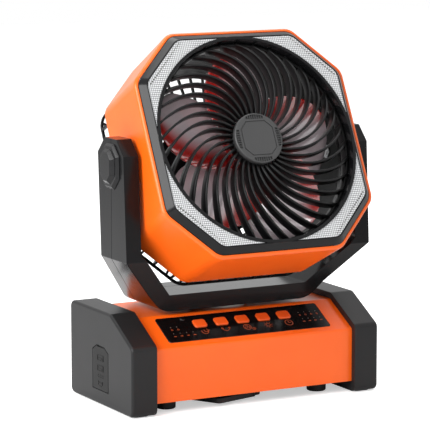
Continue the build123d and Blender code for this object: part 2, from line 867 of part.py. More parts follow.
for side, name in ((-1, "pivot_cover_left"), (1, "pivot_cover_right")):
    face = pivot_axis_plane.offset(side * yoke_half_width)
    with BuildPart() as pivot_cover:
        with BuildSketch(face):
            Polygon(*octagon(cover_half_depth, cover_half_height, cover_cut), align=None)
        extrude(amount=side * cover_base)
        chamfer(pivot_cover.faces().sort_by(Axis.X)[0 if side < 0 else -1].edges(), cover_base_bevel)
        with BuildSketch(face):
            Polygon(*cover_top, align=None)
        extrude(amount=side * cover_rise)
        chamfer(pivot_cover.faces().sort_by(Axis.X)[0 if side < 0 else -1].edges(), cover_bevel)
        with BuildSketch(face):
            Circle(bolt_head_radius + slide_gap)
        extrude(amount=side * (bolt_head_height + snug_gap), mode=Mode.SUBTRACT)
    finish(pivot_cover.part, name)

nut_face = pivot_boss_reach - slide_gap
bolt_end = nut_face - nut_thickness - 0.5
boss_face = arm_inner - washer_thickness - slide_gap

with BuildPart() as pivot_bolts:
    for side in (-1, 1):
        with BuildSketch(pivot_axis_plane.offset(side * bolt_end)):
            Circle(pivot_radius)
        extrude(amount=side * (yoke_half_width - bolt_end))
        with BuildSketch(pivot_axis_plane.offset(side * yoke_half_width)):
            Circle(bolt_head_radius)
        extrude(amount=side * bolt_head_height)
finish(pivot_bolts.part, "pivot_bolts")

with BuildPart() as pivot_washers:
    for side in (-1, 1):
        with BuildSketch(pivot_axis_plane.offset(side * (arm_inner - washer_thickness))):
            Circle(pivot_boss - 1)
            Circle(pivot_radius + snug_gap, mode=Mode.SUBTRACT)
        extrude(amount=side * washer_thickness)
finish(pivot_washers.part, "pivot_washers")

# ---------------------------------------------------------------- head
# Head pieces are drawn on planes across the fan's axis: x right, y up the head, z ahead of the pivot.

pitch = radians(head_pitch)
head_plane = Plane(
    origin=(0, pivot_back, pivot_height),
    x_dir=(1, 0, 0),
    z_dir=(0, -cos(pitch), sin(pitch)),
)
head_axis = Axis(head_plane.origin, head_plane.z_dir)
head_section = Plane(origin=head_plane.origin, x_dir=head_plane.y_dir, z_dir=(1, 0, 0))
cut_growth = 0.586  # an octagon that grows by one has its corner cut longer by this
bezel_face = bezel_ahead + bezel_rise
shell_back = bezel_ahead - shell_depth


def grown(half, cut, amount):
    return octagon(half + amount, half + amount, cut + cut_growth * amount)


with BuildPart() as head_shell:
    for front_growth, rear_growth, mode in (
        (shell_lip, 0, Mode.ADD),
        (snug_gap, -shell_wall, Mode.SUBTRACT),
    ):
        with BuildSketch(head_plane.offset(shell_back)) as rear:
            Polygon(*grown(shell_rear_half, shell_rear_cut, rear_growth), align=None)
            fillet(rear.vertices(), bezel_corner)
        with BuildSketch(head_plane.offset(bezel_ahead)) as front:
            Polygon(*grown(bezel_half, bezel_cut, front_growth), align=None)
            fillet(front.vertices(), bezel_corner)
        loft(mode=mode)
        if mode is Mode.ADD:
            fillet(head_shell.faces().sort_by(head_axis)[-1].edges(), lip_round)
    # pivot bosses on both sides
    with BuildSketch(pivot_axis_plane):
        Circle(pivot_boss)
    extrude(amount=boss_face, both=True)
    with BuildSketch(pivot_axis_plane):
        Circle(pivot_boss + 1)
    extrude(amount=bezel_half - shell_wall - 0.5, both=True, mode=Mode.SUBTRACT)
    for side in (-1, 1):
        with BuildSketch(pivot_axis_plane.offset(side * pivot_boss_reach)):
            Circle(pivot_boss_inner)
        extrude(amount=side * (boss_face - pivot_boss_reach - 1))
    with BuildSketch(pivot_axis_plane):
        Circle(pivot_radius + running_gap)
    extrude(amount=reach, both=True, mode=Mode.SUBTRACT)
finish(head_shell.part, "head_shell")

with BuildPart() as pivot_nuts:
    for side in (-1, 1):
        with BuildSketch(pivot_axis_plane.offset(side * nut_face)):
            RegularPolygon(nut_radius, 6)
            Circle(pivot_radius + snug_gap, mode=Mode.SUBTRACT)
        extrude(amount=-side * nut_thickness)
finish(pivot_nuts.part, "pivot_nuts")

channel_half = bezel_half - bezel_slope
reflector_back = bezel_face - reflector_drop
channel_floor = reflector_back - bezel_wall

with BuildPart() as front_bezel:
    with BuildSketch(head_plane.offset(bezel_ahead)) as low:
        Polygon(*octagon(bezel_half, bezel_half, bezel_cut), align=None)
        fillet(low.vertices(), bezel_corner - snug_gap)
    with BuildSketch(head_plane.offset(bezel_face)) as high:
        Polygon(*grown(bezel_half, bezel_cut, 1.0 - bezel_slope), align=None)
        fillet(high.vertices(), bezel_corner - 2)
    loft()
    # skirt inside the casing
    with BuildSketch(head_plane.offset(bezel_ahead - bezel_skirt)) as skirt:
        Polygon(*octagon(bezel_half - 1.4, bezel_half - 1.4, bezel_cut - 0.8), align=None)
        fillet(skirt.vertices(), bezel_corner)
    extrude(amount=bezel_skirt)
    # channel of the lamp, open to the front, and the hollow behind it
    with BuildSketch(head_plane.offset(reflector_back)) as channel:
        Polygon(*grown(bezel_half, bezel_cut, -bezel_slope), align=None)
        fillet(channel.vertices(), bezel_corner - 3)
    extrude(amount=2 * reflector_drop, mode=Mode.SUBTRACT)
    with BuildSketch(head_plane.offset(channel_floor)) as hollow:
        Polygon(*grown(bezel_half, bezel_cut, -bezel_slope), align=None)
        fillet(hollow.vertices(), bezel_corner - 3)
    extrude(amount=-2 * bezel_skirt, mode=Mode.SUBTRACT)
    with BuildSketch(head_plane.offset(duct_back)):
        Circle(duct_radius + duct_wall)
    extrude(amount=bezel_face + 0.6 - duct_back)
    with BuildSketch(head_plane.offset(duct_back)):
        Circle(duct_radius)
    extrude(amount=4 * bezel_skirt, mode=Mode.SUBTRACT)
finish(front_bezel.part, "front_bezel")

lens_front = bezel_face - lens_recess


def lamp_ring(back, front):
    """Fills the lamp's channel between two planes."""
    with BuildPart() as ring:
        with BuildSketch(head_plane.offset(back)) as outline:
            Polygon(*grown(bezel_half, bezel_cut, -bezel_slope - snug_gap), align=None)
            fillet(outline.vertices(), bezel_corner - 3)
            Circle(duct_radius + duct_wall + snug_gap, mode=Mode.SUBTRACT)
        extrude(amount=front - back)
    return ring.part


finish(lamp_ring(lens_front - lens_thickness, lens_front), "light_lens")
finish(lamp_ring(reflector_back, reflector_back + reflector_thickness), "light_reflector")

led_plane = reflector_back + reflector_thickness
corner_reach = (2 * channel_half - bezel_cut + cut_growth * bezel_slope) / 2**0.5
led_place = corner_reach - led_board_width / 2 - 1.0

with BuildPart() as led_boards:
    with BuildSketch(head_plane.offset(led_plane)):
        with PolarLocations(led_place, 4, start_angle=45):
            Rectangle(led_board_width, led_board_length)
    extrude(amount=1.0)
finish(led_boards.part, "led_boards")

with BuildPart() as led_chips:
    with BuildSketch(head_plane.offset(led_plane + 1.0)):
        with PolarLocations(led_place, 4, start_angle=45):
            with GridLocations(1, led_board_length / led_count, 1, led_count):
                Rectangle(led_side, led_side)
    extrude(amount=0.8)
finish(led_chips.part, "led_chips")

# front grille: ribs that leave the hub straight and sweep round on their way over a crown to the ring


def rib_angle(radius):
    share = max(0.0, (radius - grille_hub_radius) / (duct_radius - grille_hub_radius))
    return radians(rib_sweep) * share**rib_bend


def rib_edge(side):
    """Points of one edge of a rib, half its width to one side of the middle line."""
    points = []
    for step in range(8):
        radius = grille_hub_radius - 3 + step * (duct_radius - grille_hub_radius + 2) / 7
        ahead, behind = rib_angle(radius + 0.5), rib_angle(radius - 0.5)
        along = atan2(
            (radius + 0.5) * sin(ahead) - (radius - 0.5) * sin(behind),
            (radius + 0.5) * cos(ahead) - (radius - 0.5) * cos(behind),
        )
        middle = rib_angle(radius)
        points.append(
            (
                radius * cos(middle) - side * rib_width / 2 * sin(along),
                radius * sin(middle) + side * rib_width / 2 * cos(along),
            )
        )
    return points


hub_front = bezel_ahead + grille_hub_ahead
rim_front = bezel_ahead + grille_rim_ahead
crown_front = bezel_ahead + grille_crown_ahead
rib_bottom = rim_front - 2 * rib_depth
hub_edge = grille_hub_radius - 0.2
rim_edge = duct_radius - snug_gap

with BuildSketch(head_plane.offset(rib_bottom)) as ribs:
    with BuildSketch(Plane.XY, mode=Mode.PRIVATE) as rib:
        with BuildLine():
            Spline(*rib_edge(-1))
            Spline(*rib_edge(1))
            Line(rib_edge(-1)[0], rib_edge(1)[0])
            Line(rib_edge(-1)[-1], rib_edge(1)[-1])
        make_face()
    with PolarLocations(0, rib_count, start_angle=rib_phase):
        add(rib.sketch)

with BuildPart() as front_grille:
    extrude(ribs.sketch, amount=crown_front + 1 - rib_bottom)
    with BuildSketch(head_section):
        with BuildLine():
            for drop in (0, rib_depth):
                crown = (grille_crown_radius, crown_front - drop)
                TangentArc(crown, (hub_edge, hub_front - drop), tangent=(-1, 0))
                TangentArc(crown, (rim_edge, rim_front - drop), tangent=(1, 0))
            Line((rim_edge, rim_front), (rim_edge, rim_front - rib_depth))
            Line((hub_edge, hub_front - rib_depth), (hub_edge, hub_front))
        make_face()
    revolve(axis=head_axis, mode=Mode.INTERSECT)
    with BuildSketch(head_plane.offset(rim_front - rib_depth - 2)):
        Circle(rim_edge)
        Circle(rim_edge - grille_ring_width, mode=Mode.SUBTRACT)
    extrude(amount=rib_depth + 1)
    with BuildSketch(head_plane.offset(hub_front - rib_depth)):
        Circle(grille_hub_radius)
    extrude(amount=rib_depth - hub_seat)
finish(front_grille.part, "front_grille")

with BuildPart() as hub_cap:
    with BuildSketch(head_plane.offset(hub_front - hub_seat)):
        Circle(hub_edge - snug_gap)
    extrude(amount=hub_cap_thickness)
    fillet(hub_cap.faces().sort_by(head_axis)[-1].edges(), 1.2)
    # groove round the octagonal middle
    with BuildSketch(head_plane.offset(hub_front - hub_seat + hub_cap_thickness - hub_groove)):
        Polygon(*octagon(hub_cap_half + 1.0, hub_cap_half + 1.0, hub_cap_cut + 0.4), align=None)
        Polygon(*octagon(hub_cap_half, hub_cap_half, hub_cap_cut), align=None, mode=Mode.SUBTRACT)
    extrude(amount=5, mode=Mode.SUBTRACT)
finish(hub_cap.part, "hub_cap")

# rear grille: an octagonal cage with posts round its side and a web of bars behind

cage_front = shell_back
cage_depth = cage_front - cage_ahead
flat_half = cage_half - cage_cut
corner_length = cage_cut * 2**0.5

with BuildPart() as rear_grille:
    with BuildSketch(head_plane.offset(cage_ahead)) as outline:
        Polygon(*octagon(cage_half, cage_half, cage_cut), align=None)
        fillet(outline.vertices(), cage_corner)
    extrude(amount=cage_depth)
    with BuildSketch(head_plane.offset(cage_front)) as insert:
        Polygon(*grown(shell_rear_half, shell_rear_cut, -shell_wall - snug_gap), align=None)
        fillet(insert.vertices(), bezel_corner)
    extrude(amount=cage_insert)
    with BuildSketch(head_plane.offset(cage_ahead + cage_wall)) as inside:
        Polygon(*grown(cage_half, cage_cut, -cage_rim), align=None)
        fillet(inside.vertices(), cage_corner - cage_rim)
    extrude(amount=4 * cage_depth, mode=Mode.SUBTRACT)
    # windows between the posts: along the four flats and the four corners
    for turn in range(8):
        along = corner_length if turn % 2 else 2 * flat_half
        out = (2 * cage_half - cage_cut) / 2**0.5 if turn % 2 else cage_half
        count = int(along / cage_post_pitch)
        angle = radians(45 * turn)
        normal = head_plane.x_dir * cos(angle) + head_plane.y_dir * sin(angle)
        face = Plane(origin=head_plane.origin + normal * out, x_dir=head_plane.z_dir, z_dir=normal)
        with BuildSketch(face):
            with Locations((cage_ahead + cage_wall + (cage_depth - cage_wall) / 2, 0)):
                with GridLocations(1, along / count, 1, count):
                    Rectangle(cage_depth - 2 * cage_wall, along / count - cage_post)
        extrude(amount=2 * cage_rim, both=True, mode=Mode.SUBTRACT)
    # open the back, then fill it with rings and bars
    with BuildSketch(head_plane.offset(cage_ahead)) as opening:
        Polygon(*grown(cage_half, cage_cut, -cage_rim), align=None)
        fillet(opening.vertices(), cage_corner - cage_rim)
    extrude(amount=cage_wall, mode=Mode.SUBTRACT)
    with BuildSketch(head_plane.offset(cage_ahead)) as web:
        for ring in range(rear_ring_count, 0, -1):
            Circle(rear_hub_radius + ring * rear_ring_pitch)
            Circle(rear_hub_radius + ring * rear_ring_pitch - rear_rib_width, mode=Mode.SUBTRACT)
        with PolarLocations(cage_half / 2, rear_rib_count):
            Rectangle(1.2 * cage_half, rear_rib_width)
        Circle(rear_hub_radius)
        Polygon(*grown(cage_half, cage_cut, -cage_rim + 0.5), align=None, mode=Mode.INTERSECT)
    extrude(amount=cage_wall)
    with BuildSketch(head_plane.offset(cage_ahead)):
        with PolarLocations(motor_screw_circle, 4, start_angle=45):
            Circle(screw_radius + snug_gap)
    extrude(amount=cage_wall, mode=Mode.SUBTRACT)
finish(rear_grille.part, "rear_grille")

with BuildPart() as motor_screws:
    with BuildSketch(head_plane.offset(cage_ahead)):
        with PolarLocations(motor_screw_circle, 4, start_angle=45):
            Circle(screw_head)
    extrude(amount=-screw_head_height)
    with BuildSketch(head_plane.offset(cage_ahead)):
        with PolarLocations(motor_screw_circle, 4, start_angle=45):
            Circle(screw_radius)
    extrude(amount=motor_screw_length)
finish(motor_screws.part, "motor_screws")

# motor, shaft and fan blade

motor_back = cage_ahead + cage_wall
motor_front = motor_back + fan_motor_length

with BuildPart() as fan_motor:
    with BuildSketch(head_plane.offset(motor_back)):
        Circle(fan_motor_radius)
    extrude(amount=fan_motor_length)
    fillet(fan_motor.faces().sort_by(head_axis)[-1].edges(), 2)
    with BuildSketch(head_plane.offset(motor_back + 1.6)):
        Circle(bush_radius + snug_gap)
    extrude(amount=fan_motor_length, mode=Mode.SUBTRACT)
    with BuildSketch(head_plane.offset(motor_back)):
        with PolarLocations(motor_screw_circle, 4, start_angle=45):
            Circle(screw_radius + snug_gap)
    extrude(amount=motor_screw_length, mode=Mode.SUBTRACT)
finish(fan_motor.part, "fan_motor")

with BuildPart() as shaft_bushes:
    for back in (motor_back + 3.0, motor_front - bush_length):
        with BuildSketch(head_plane.offset(back)):
            Circle(bush_radius)
            Circle(rotor_shaft_radius + running_gap, mode=Mode.SUBTRACT)
        extrude(amount=bush_length)
finish(shaft_bushes.part, "shaft_bushes")

with BuildPart() as rotor_shaft:
    with BuildSketch(head_plane.offset(motor_back + 2.0)):
        Circle(rotor_shaft_radius)
    extrude(amount=rotor_shaft_ahead - motor_back - 2.0)
finish(rotor_shaft.part, "rotor_shaft")


def blade_section(radius):
    """A curved strip across the blade at a radius, from its low back edge to its high front edge."""
    half_width = radius * tan(radians(blade_spread / 2))
    middle = (blade_low + blade_high) / 2 + blade_camber
    half = blade_thickness / 2
    low_top = (-half_width, blade_low + half)
    low_bottom = (-half_width, blade_low - half)
    high_top = (half_width, blade_high)
    high_bottom = (half_width, blade_high - 2 * half)
    with BuildSketch(head_section.offset(radius)) as section:
        with BuildLine():
            ThreePointArc(low_top, (0, middle + half), high_top)
            Line(high_top, high_bottom)
            ThreePointArc(high_bottom, (0, middle - half), low_bottom)
            Line(low_bottom, low_top)
        make_face()
    return section.sketch


with BuildPart() as blade:
    loft([blade_section(radius) for radius in (blade_hub_radius - 4, blade_radius / 2, blade_radius)])
    with BuildSketch(head_plane.offset(-10)):
        Circle(blade_radius)
        Circle(blade_hub_radius - 1, mode=Mode.SUBTRACT)
    extrude(amount=60, mode=Mode.INTERSECT)

with BuildPart() as fan_blade:
    with BuildSketch(head_plane.offset(blade_hub_back)):
        Circle(blade_hub_radius)
    extrude(amount=blade_hub_front - blade_hub_back)
    fillet(fan_blade.faces().sort_by(head_axis)[-1].edges(), 4)
    with BuildSketch(head_plane.offset(blade_hub_back)):
        Circle(blade_hub_radius - blade_hub_wall)
    extrude(amount=blade_hub_front - blade_hub_back - blade_hub_wall, mode=Mode.SUBTRACT)
    with BuildSketch(head_plane.offset(blade_hub_back)):
        Circle(bush_radius)
    extrude(amount=blade_hub_front - blade_hub_back - blade_hub_wall / 2)
    for turn in range(blade_count):
        add(blade.part.rotate(head_axis, blade_phase + 360 * turn / blade_count))
    with BuildSketch(head_plane.offset(blade_hub_back)):
        Circle(rotor_shaft_radius + running_gap)
    extrude(amount=60, mode=Mode.SUBTRACT)
finish(fan_blade.part, "fan_blade")

with BuildPart() as blade_nut:
    with BuildSketch(head_plane.offset(blade_hub_front)):
        RegularPolygon(4, 6)
        Circle(rotor_shaft_radius + running_gap, mode=Mode.SUBTRACT)
    extrude(amount=2.5)
finish(blade_nut.part, "blade_nut")
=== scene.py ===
from math import atan2, cos, pi, radians, sin, sqrt

import bmesh
import bpy
from mathutils import Matrix, Vector


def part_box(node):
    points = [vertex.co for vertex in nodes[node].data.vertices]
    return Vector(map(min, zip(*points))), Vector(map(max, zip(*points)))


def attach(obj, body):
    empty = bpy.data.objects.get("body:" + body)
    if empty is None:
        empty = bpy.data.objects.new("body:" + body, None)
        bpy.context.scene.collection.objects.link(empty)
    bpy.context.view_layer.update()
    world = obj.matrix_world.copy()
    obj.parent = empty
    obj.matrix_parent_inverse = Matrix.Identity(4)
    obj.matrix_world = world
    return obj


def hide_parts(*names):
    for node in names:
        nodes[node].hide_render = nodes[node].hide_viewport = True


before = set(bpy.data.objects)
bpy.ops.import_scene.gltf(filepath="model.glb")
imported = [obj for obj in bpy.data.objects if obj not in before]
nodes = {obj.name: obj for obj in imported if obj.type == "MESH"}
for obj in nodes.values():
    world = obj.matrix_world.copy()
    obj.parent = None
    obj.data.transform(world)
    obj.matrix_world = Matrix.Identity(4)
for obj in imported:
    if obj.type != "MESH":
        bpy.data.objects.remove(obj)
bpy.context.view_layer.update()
mm = 0.001

# the head's own frame: x to the right, y up the head, z ahead along the fan's axis
head = dict(lean=27, y=-20.0, z=221.0)
headTilt = radians(head["lean"])
headPlace = Matrix((
    (1, 0, 0, 0),
    (0, sin(headTilt), -cos(headTilt), head["y"] * mm),
    (0, cos(headTilt), sin(headTilt), head["z"] * mm),
    (0, 0, 0, 1),
))
# the panel's frame on the base's slope: x to the right, y up the slope, z out of it
slope = dict(frontHeight=63.3, backHeight=87.5, run=44.5, back=-19.5, panelDown=23.0, inset=6.0)
slopeTilt = atan2(slope["backHeight"] - slope["frontHeight"], slope["run"])
slopeY = slope["back"] - slope["panelDown"] * cos(slopeTilt) + slope["inset"] * sin(slopeTilt)
slopeZ = slope["backHeight"] - slope["panelDown"] * sin(slopeTilt) - slope["inset"] * cos(slopeTilt)
slopePlace = Matrix((
    (1, 0, 0, 0),
    (0, cos(slopeTilt), -sin(slopeTilt), slopeY * mm),
    (0, sin(slopeTilt), cos(slopeTilt), slopeZ * mm),
    (0, 0, 0, 1),
))

# limits for tidying a copied solid
mergeGap = 0.01 * mm  # vertices nearer than this become one
flatTurn = radians(0.4)  # faces that turn less than this become one


def pickOnly(*pieces):
    bpy.ops.object.select_all(action="DESELECT")
    for piece in pieces:
        piece.select_set(True)
    bpy.context.view_layer.objects.active = pieces[0]


def edit(piece, kind):
    pickOnly(piece)
    bpy.ops.object.mode_set(mode="EDIT")
    bpy.ops.mesh.select_mode(type=kind)
    bpy.ops.mesh.select_all(action="DESELECT")


def leaveEdit():
    bpy.ops.object.mode_set(mode="OBJECT")


# edits the edges or faces whose middle and direction pass a test
def choose(piece, kind, test):
    edit(piece, kind)
    shape = bmesh.from_edit_mesh(piece.data)
    if kind == "EDGE":
        for edge in shape.edges:
            start, stop = (vertex.co for vertex in edge.verts)
            edge.select_set(test((start + stop) / 2, (stop - start).normalized()))
    else:
        for face in shape.faces:
            face.select_set(test(face.calc_center_median(), face.normal))
    bmesh.update_edit_mesh(piece.data)


def applyPlace(piece):
    pickOnly(piece)
    bpy.ops.object.transform_apply(location=True, rotation=True, scale=True)


def useModifier(piece, kind, **values):
    pickOnly(piece)
    bpy.ops.object.modifier_add(type=kind)
    modifier = piece.modifiers[-1]
    for key, value in values.items():
        setattr(modifier, key, value)
    bpy.ops.object.modifier_apply(modifier=modifier.name)


def smooth(piece, angle):
    pickOnly(piece)
    bpy.ops.object.shade_smooth_by_angle(angle=radians(angle))


# sizes and places of these three are in millimetres
def block(name, size, place):
    bpy.ops.object.select_all(action="DESELECT")
    bpy.ops.mesh.primitive_cube_add(size=1, location=Vector(place) * mm, scale=Vector(size) * mm)
    piece = bpy.context.object
    piece.name = name
    applyPlace(piece)
    return piece


def drum(name, radius, low, high, sides, fill="NGON"):
    bpy.ops.object.select_all(action="DESELECT")
    bpy.ops.mesh.primitive_cylinder_add(
        vertices=sides, radius=radius * mm, depth=(high - low) * mm, location=(0, 0, (low + high) / 2 * mm),
        end_fill_type=fill,
    )
    piece = bpy.context.object
    piece.name = name
    applyPlace(piece)
    return piece


def tube(name, radius, wall, low, high, sides):
    piece = drum(name, radius, low, high, sides, "NOTHING")
    useModifier(piece, "SOLIDIFY", thickness=wall * mm, offset=-1)
    return piece


# a flat strip of faces, one unit long each way, for shapeBy to bend
def strip(name, along, across):
    bpy.ops.object.select_all(action="DESELECT")
    bpy.ops.mesh.primitive_grid_add(x_subdivisions=along, y_subdivisions=across, size=1)
    piece = bpy.context.object
    piece.name = name
    return piece


# gives every vertex of a piece the place that a rule works out from its first place
def shapeBy(piece, rule):
    for vertex in piece.data.vertices:
        vertex.co = rule(vertex.co)
    piece.data.update()


def joined(name, pieces):
    pickOnly(*pieces)
    bpy.ops.object.join()
    piece = bpy.context.object
    piece.name = name
    return piece


def copyOf(piece, turn=None):
    twin = piece.copy()
    twin.data = piece.data.copy()
    bpy.context.scene.collection.objects.link(twin)
    if turn is not None:
        twin.data.transform(turn)
    return twin


def shiftBy(x, y):
    return Matrix.Translation((x * mm, y * mm, 0))


# a piece and its copies, evenly spaced round the z axis
def roundAxis(piece, count):
    turns = [Matrix.Rotation(2 * pi * order / count, 4, "Z") for order in range(1, count)]
    return [piece] + [copyOf(piece, turn) for turn in turns]


def cleanCopy(node, name, flatten):
    piece = copyOf(nodes[node])
    piece.parent = None
    piece.name = name
    for key in list(piece.keys()):
        del piece[key]
    piece.data.materials.clear()
    pickOnly(piece)
    if piece.data.has_custom_normals:
        bpy.ops.mesh.customdata_custom_splitnormals_clear()
    edit(piece, "VERT")
    bpy.ops.mesh.select_all(action="SELECT")
    bpy.ops.mesh.remove_doubles(threshold=mergeGap)
    if flatten:
        bpy.ops.mesh.dissolve_limited(angle_limit=flatTurn)
    leaveEdit()
    return piece


def roundEdges(piece, width, segments, angle):
    useModifier(
        piece, "BEVEL", width=width * mm, segments=segments, limit_method="ANGLE", angle_limit=radians(angle),
        use_clamp_overlap=False,
    )


def carve(piece, cutter, how="DIFFERENCE"):
    useModifier(piece, "BOOLEAN", object=cutter, operation=how, solver="EXACT")
    bpy.data.objects.remove(cutter)


def finish(piece, body, slot, paint, *replaced):
    piece.data.materials.clear()
    piece.data.materials.append(paints[paint])
    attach(piece, body)
    if replaced:
        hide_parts(*replaced)


# a solid that keeps its own shape, with sharp edges rounded by some millimetres and shaded smooth
def dressed(node, name, body, slot, paint, edge=0, angle=34, flatten=False):
    piece = cleanCopy(node, name, flatten)
    if edge:
        roundEdges(piece, edge, 2, angle)
    smooth(piece, angle)
    useModifier(piece, "WEIGHTED_NORMAL", keep_sharp=True)
    finish(piece, body, slot, paint, node)


# moulded plastic: faint mottling of the colour and the gloss, and a fine grain
surfaceLook = dict(mottleScale=40.0, mottleDetail=3, grainDetail=2, roughSpread=0.08, bumpDepth=0.2)


def makeMouldedGroup():
    group = bpy.data.node_groups.new("mouldedSurface", "ShaderNodeTree")
    face = group.interface
    for name, kind in (
        ("Color", "NodeSocketColor"),
        ("Shade", "NodeSocketColor"),
        ("Roughness", "NodeSocketFloat"),
        ("Grain Scale", "NodeSocketFloat"),
    ):
        face.new_socket(name=name, in_out="INPUT", socket_type=kind)
    face.new_socket(name="Color", in_out="OUTPUT", socket_type="NodeSocketColor")
    face.new_socket(name="Roughness", in_out="OUTPUT", socket_type="NodeSocketFloat")
    face.new_socket(name="Height", in_out="OUTPUT", socket_type="NodeSocketFloat")
    add = group.nodes.new
    link = group.links.new
    inlet, outlet = add("NodeGroupInput"), add("NodeGroupOutput")
    place = add("ShaderNodeTexCoord")
    mottle, grain = add("ShaderNodeTexNoise"), add("ShaderNodeTexNoise")
    mottle.inputs["Scale"].default_value = surfaceLook["mottleScale"]
    mottle.inputs["Detail"].default_value = surfaceLook["mottleDetail"]
    grain.inputs["Detail"].default_value = surfaceLook["grainDetail"]
    link(place.outputs["Object"], mottle.inputs["Vector"])
    link(place.outputs["Object"], grain.inputs["Vector"])
    link(inlet.outputs["Grain Scale"], grain.inputs["Scale"])
    mix = add("ShaderNodeMix")
    mix.data_type = "RGBA"
    link(mottle.outputs["Fac"], mix.inputs["Factor"])
    link(inlet.outputs["Color"], mix.inputs["A"])
    link(inlet.outputs["Shade"], mix.inputs["B"])
    link(mix.outputs["Result"], outlet.inputs["Color"])
    rough = add("ShaderNodeMath")
    rough.operation = "MULTIPLY_ADD"
    rough.inputs[1].default_value = surfaceLook["roughSpread"]
    link(mottle.outputs["Fac"], rough.inputs[0])
    link(inlet.outputs["Roughness"], rough.inputs[2])
    link(rough.outputs[0], outlet.inputs["Roughness"])
    link(grain.outputs["Fac"], outlet.inputs["Height"])
    return group


moulded = makeMouldedGroup()

# each finish: its colour, the colour it mottles to, and how rough, grainy, bumpy and glossy it is
finishes = {
    "casingOrange": dict(
        color=(0.86, 0.125, 0.007), shade=(0.8, 0.105, 0.005),
        rough=0.27, grain=1600, bump=0.03, gloss=0.4,
    ),
    "buttonOrange": dict(
        color=(0.85, 0.12, 0.012), shade=(0.6, 0.06, 0.006),
        rough=0.3, grain=700, bump=0.12,
    ),
    "blackSatin": dict(
        color=(0.006, 0.006, 0.007), shade=(0.009, 0.009, 0.009),
        rough=0.3, grain=1400, bump=0.06, gloss=0.22,
    ),
    "yokeBlack": dict(
        color=(0.004, 0.004, 0.005), shade=(0.006, 0.006, 0.006),
        rough=0.14, grain=1400, bump=0.02, gloss=0.17,
    ),
    "coverBlack": dict(
        color=(0.004, 0.004, 0.005), shade=(0.006, 0.006, 0.006),
        rough=0.14, grain=1400, bump=0.02, gloss=0.24,
    ),
    "bezelBlack": dict(
        color=(0.004, 0.004, 0.005), shade=(0.006, 0.006, 0.006),
        rough=0.13, grain=1400, bump=0.02, gloss=0.22,
    ),
    "capBlack": dict(
        color=(0.01, 0.01, 0.011), shade=(0.014, 0.014, 0.014),
        rough=0.36, grain=1100, bump=0.12, gloss=0.22,
    ),
    "flapRubber": dict(
        color=(0.005, 0.005, 0.005), shade=(0.007, 0.007, 0.007),
        rough=0.42, grain=900, bump=0.12, gloss=0.18,
    ),
    "grilleBlack": dict(
        color=(0.005, 0.005, 0.006), shade=(0.007, 0.007, 0.007),
        rough=0.3, grain=1400, bump=0.05, gloss=0.22,
    ),
    "ribBlack": dict(
        color=(0.003, 0.003, 0.0035), shade=(0.0045, 0.0045, 0.0045),
        rough=0.25, grain=1400, bump=0.03, gloss=0.24,
    ),
    # ductBlack also colours the liner that stands in as painted shade inside the head
    "ductBlack": dict(
        color=(0.003, 0.003, 0.003), shade=(0.004, 0.004, 0.004),
        rough=0.4, grain=1400, bump=0.03, gloss=0.12,
    ),
    "hubBlack": dict(
        color=(0.034, 0.034, 0.035), shade=(0.044, 0.044, 0.044),
        rough=0.36, grain=1100, bump=0.1,
    ),
    "panelGloss": dict(
        color=(0.003, 0.002, 0.002), shade=(0.004, 0.003, 0.003),
        rough=0.12, grain=900, bump=0.03, gloss=0.3,
    ),
    "rubberBlack": dict(
        color=(0.01, 0.01, 0.01), shade=(0.014, 0.014, 0.014),
        rough=0.6, grain=900, bump=0.2, gloss=0.3,
    ),
    "markOrange": dict(color=(0.3, 0.05, 0.008), shade=(0.24, 0.036, 0.006), rough=0.5, grain=900, bump=0.03),
    "dotPale": dict(color=(0.12, 0.1, 0.09), shade=(0.09, 0.08, 0.07), rough=0.4, grain=900, bump=0.03),
    "bearingPlastic": dict(color=(0.7, 0.7, 0.66), shade=(0.62, 0.62, 0.58), rough=0.4, grain=900, bump=0.08),
    "boardGreen": dict(color=(0.02, 0.12, 0.05), shade=(0.015, 0.09, 0.035), rough=0.35, grain=600, bump=0.2),
    "cellBlue": dict(color=(0.03, 0.12, 0.35), shade=(0.025, 0.1, 0.3), rough=0.35, grain=500, bump=0.05),
    "switchPale": dict(color=(0.7, 0.62, 0.2), shade=(0.62, 0.55, 0.17), rough=0.4, grain=700, bump=0.05),
    "ledDark": dict(color=(0.02, 0.018, 0.01), shade=(0.03, 0.026, 0.015), rough=0.3, grain=700, bump=0.05),
    "bladeRed": dict(color=(0.72, 0.025, 0.02), shade=(0.6, 0.018, 0.015), rough=0.2, grain=500, bump=0.01),
    "reflectorWhite": dict(
        color=(0.78, 0.79, 0.8), shade=(0.66, 0.67, 0.68),
        rough=0.25, grain=900, bump=0.05,
    ),
    "lensClear": dict(color=(0.74, 0.75, 0.76), shade=(0.64, 0.65, 0.66), rough=0.12, grain=900, bump=0.03),
    "steel": dict(
        color=(0.6, 0.6, 0.61), shade=(0.5, 0.5, 0.51),
        rough=0.28, grain=1200, bump=0.1, metal=1.0,
    ),
}


def makeFinish(name, color, shade, rough, grain, bump, metal=0.0, gloss=0.5):
    material = bpy.data.materials.new(name)
    material.use_nodes = True
    tree = material.node_tree
    shader = tree.nodes["Principled BSDF"]
    shader.inputs["Metallic"].default_value = metal
    shader.inputs["Specular IOR Level"].default_value = gloss
    surface = tree.nodes.new("ShaderNodeGroup")
    surface.node_tree = moulded
    surface.inputs["Color"].default_value = (*color, 1)
    surface.inputs["Shade"].default_value = (*shade, 1)
    surface.inputs["Roughness"].default_value = rough
    surface.inputs["Grain Scale"].default_value = grain
    relief = tree.nodes.new("ShaderNodeBump")
    relief.inputs["Strength"].default_value = bump
    relief.inputs["Distance"].default_value = surfaceLook["bumpDepth"] * mm
    tree.links.new(surface.outputs["Color"], shader.inputs["Base Color"])
    tree.links.new(surface.outputs["Roughness"], shader.inputs["Roughness"])
    tree.links.new(surface.outputs["Height"], relief.inputs["Height"])
    tree.links.new(relief.outputs["Normal"], shader.inputs["Normal"])
    return material


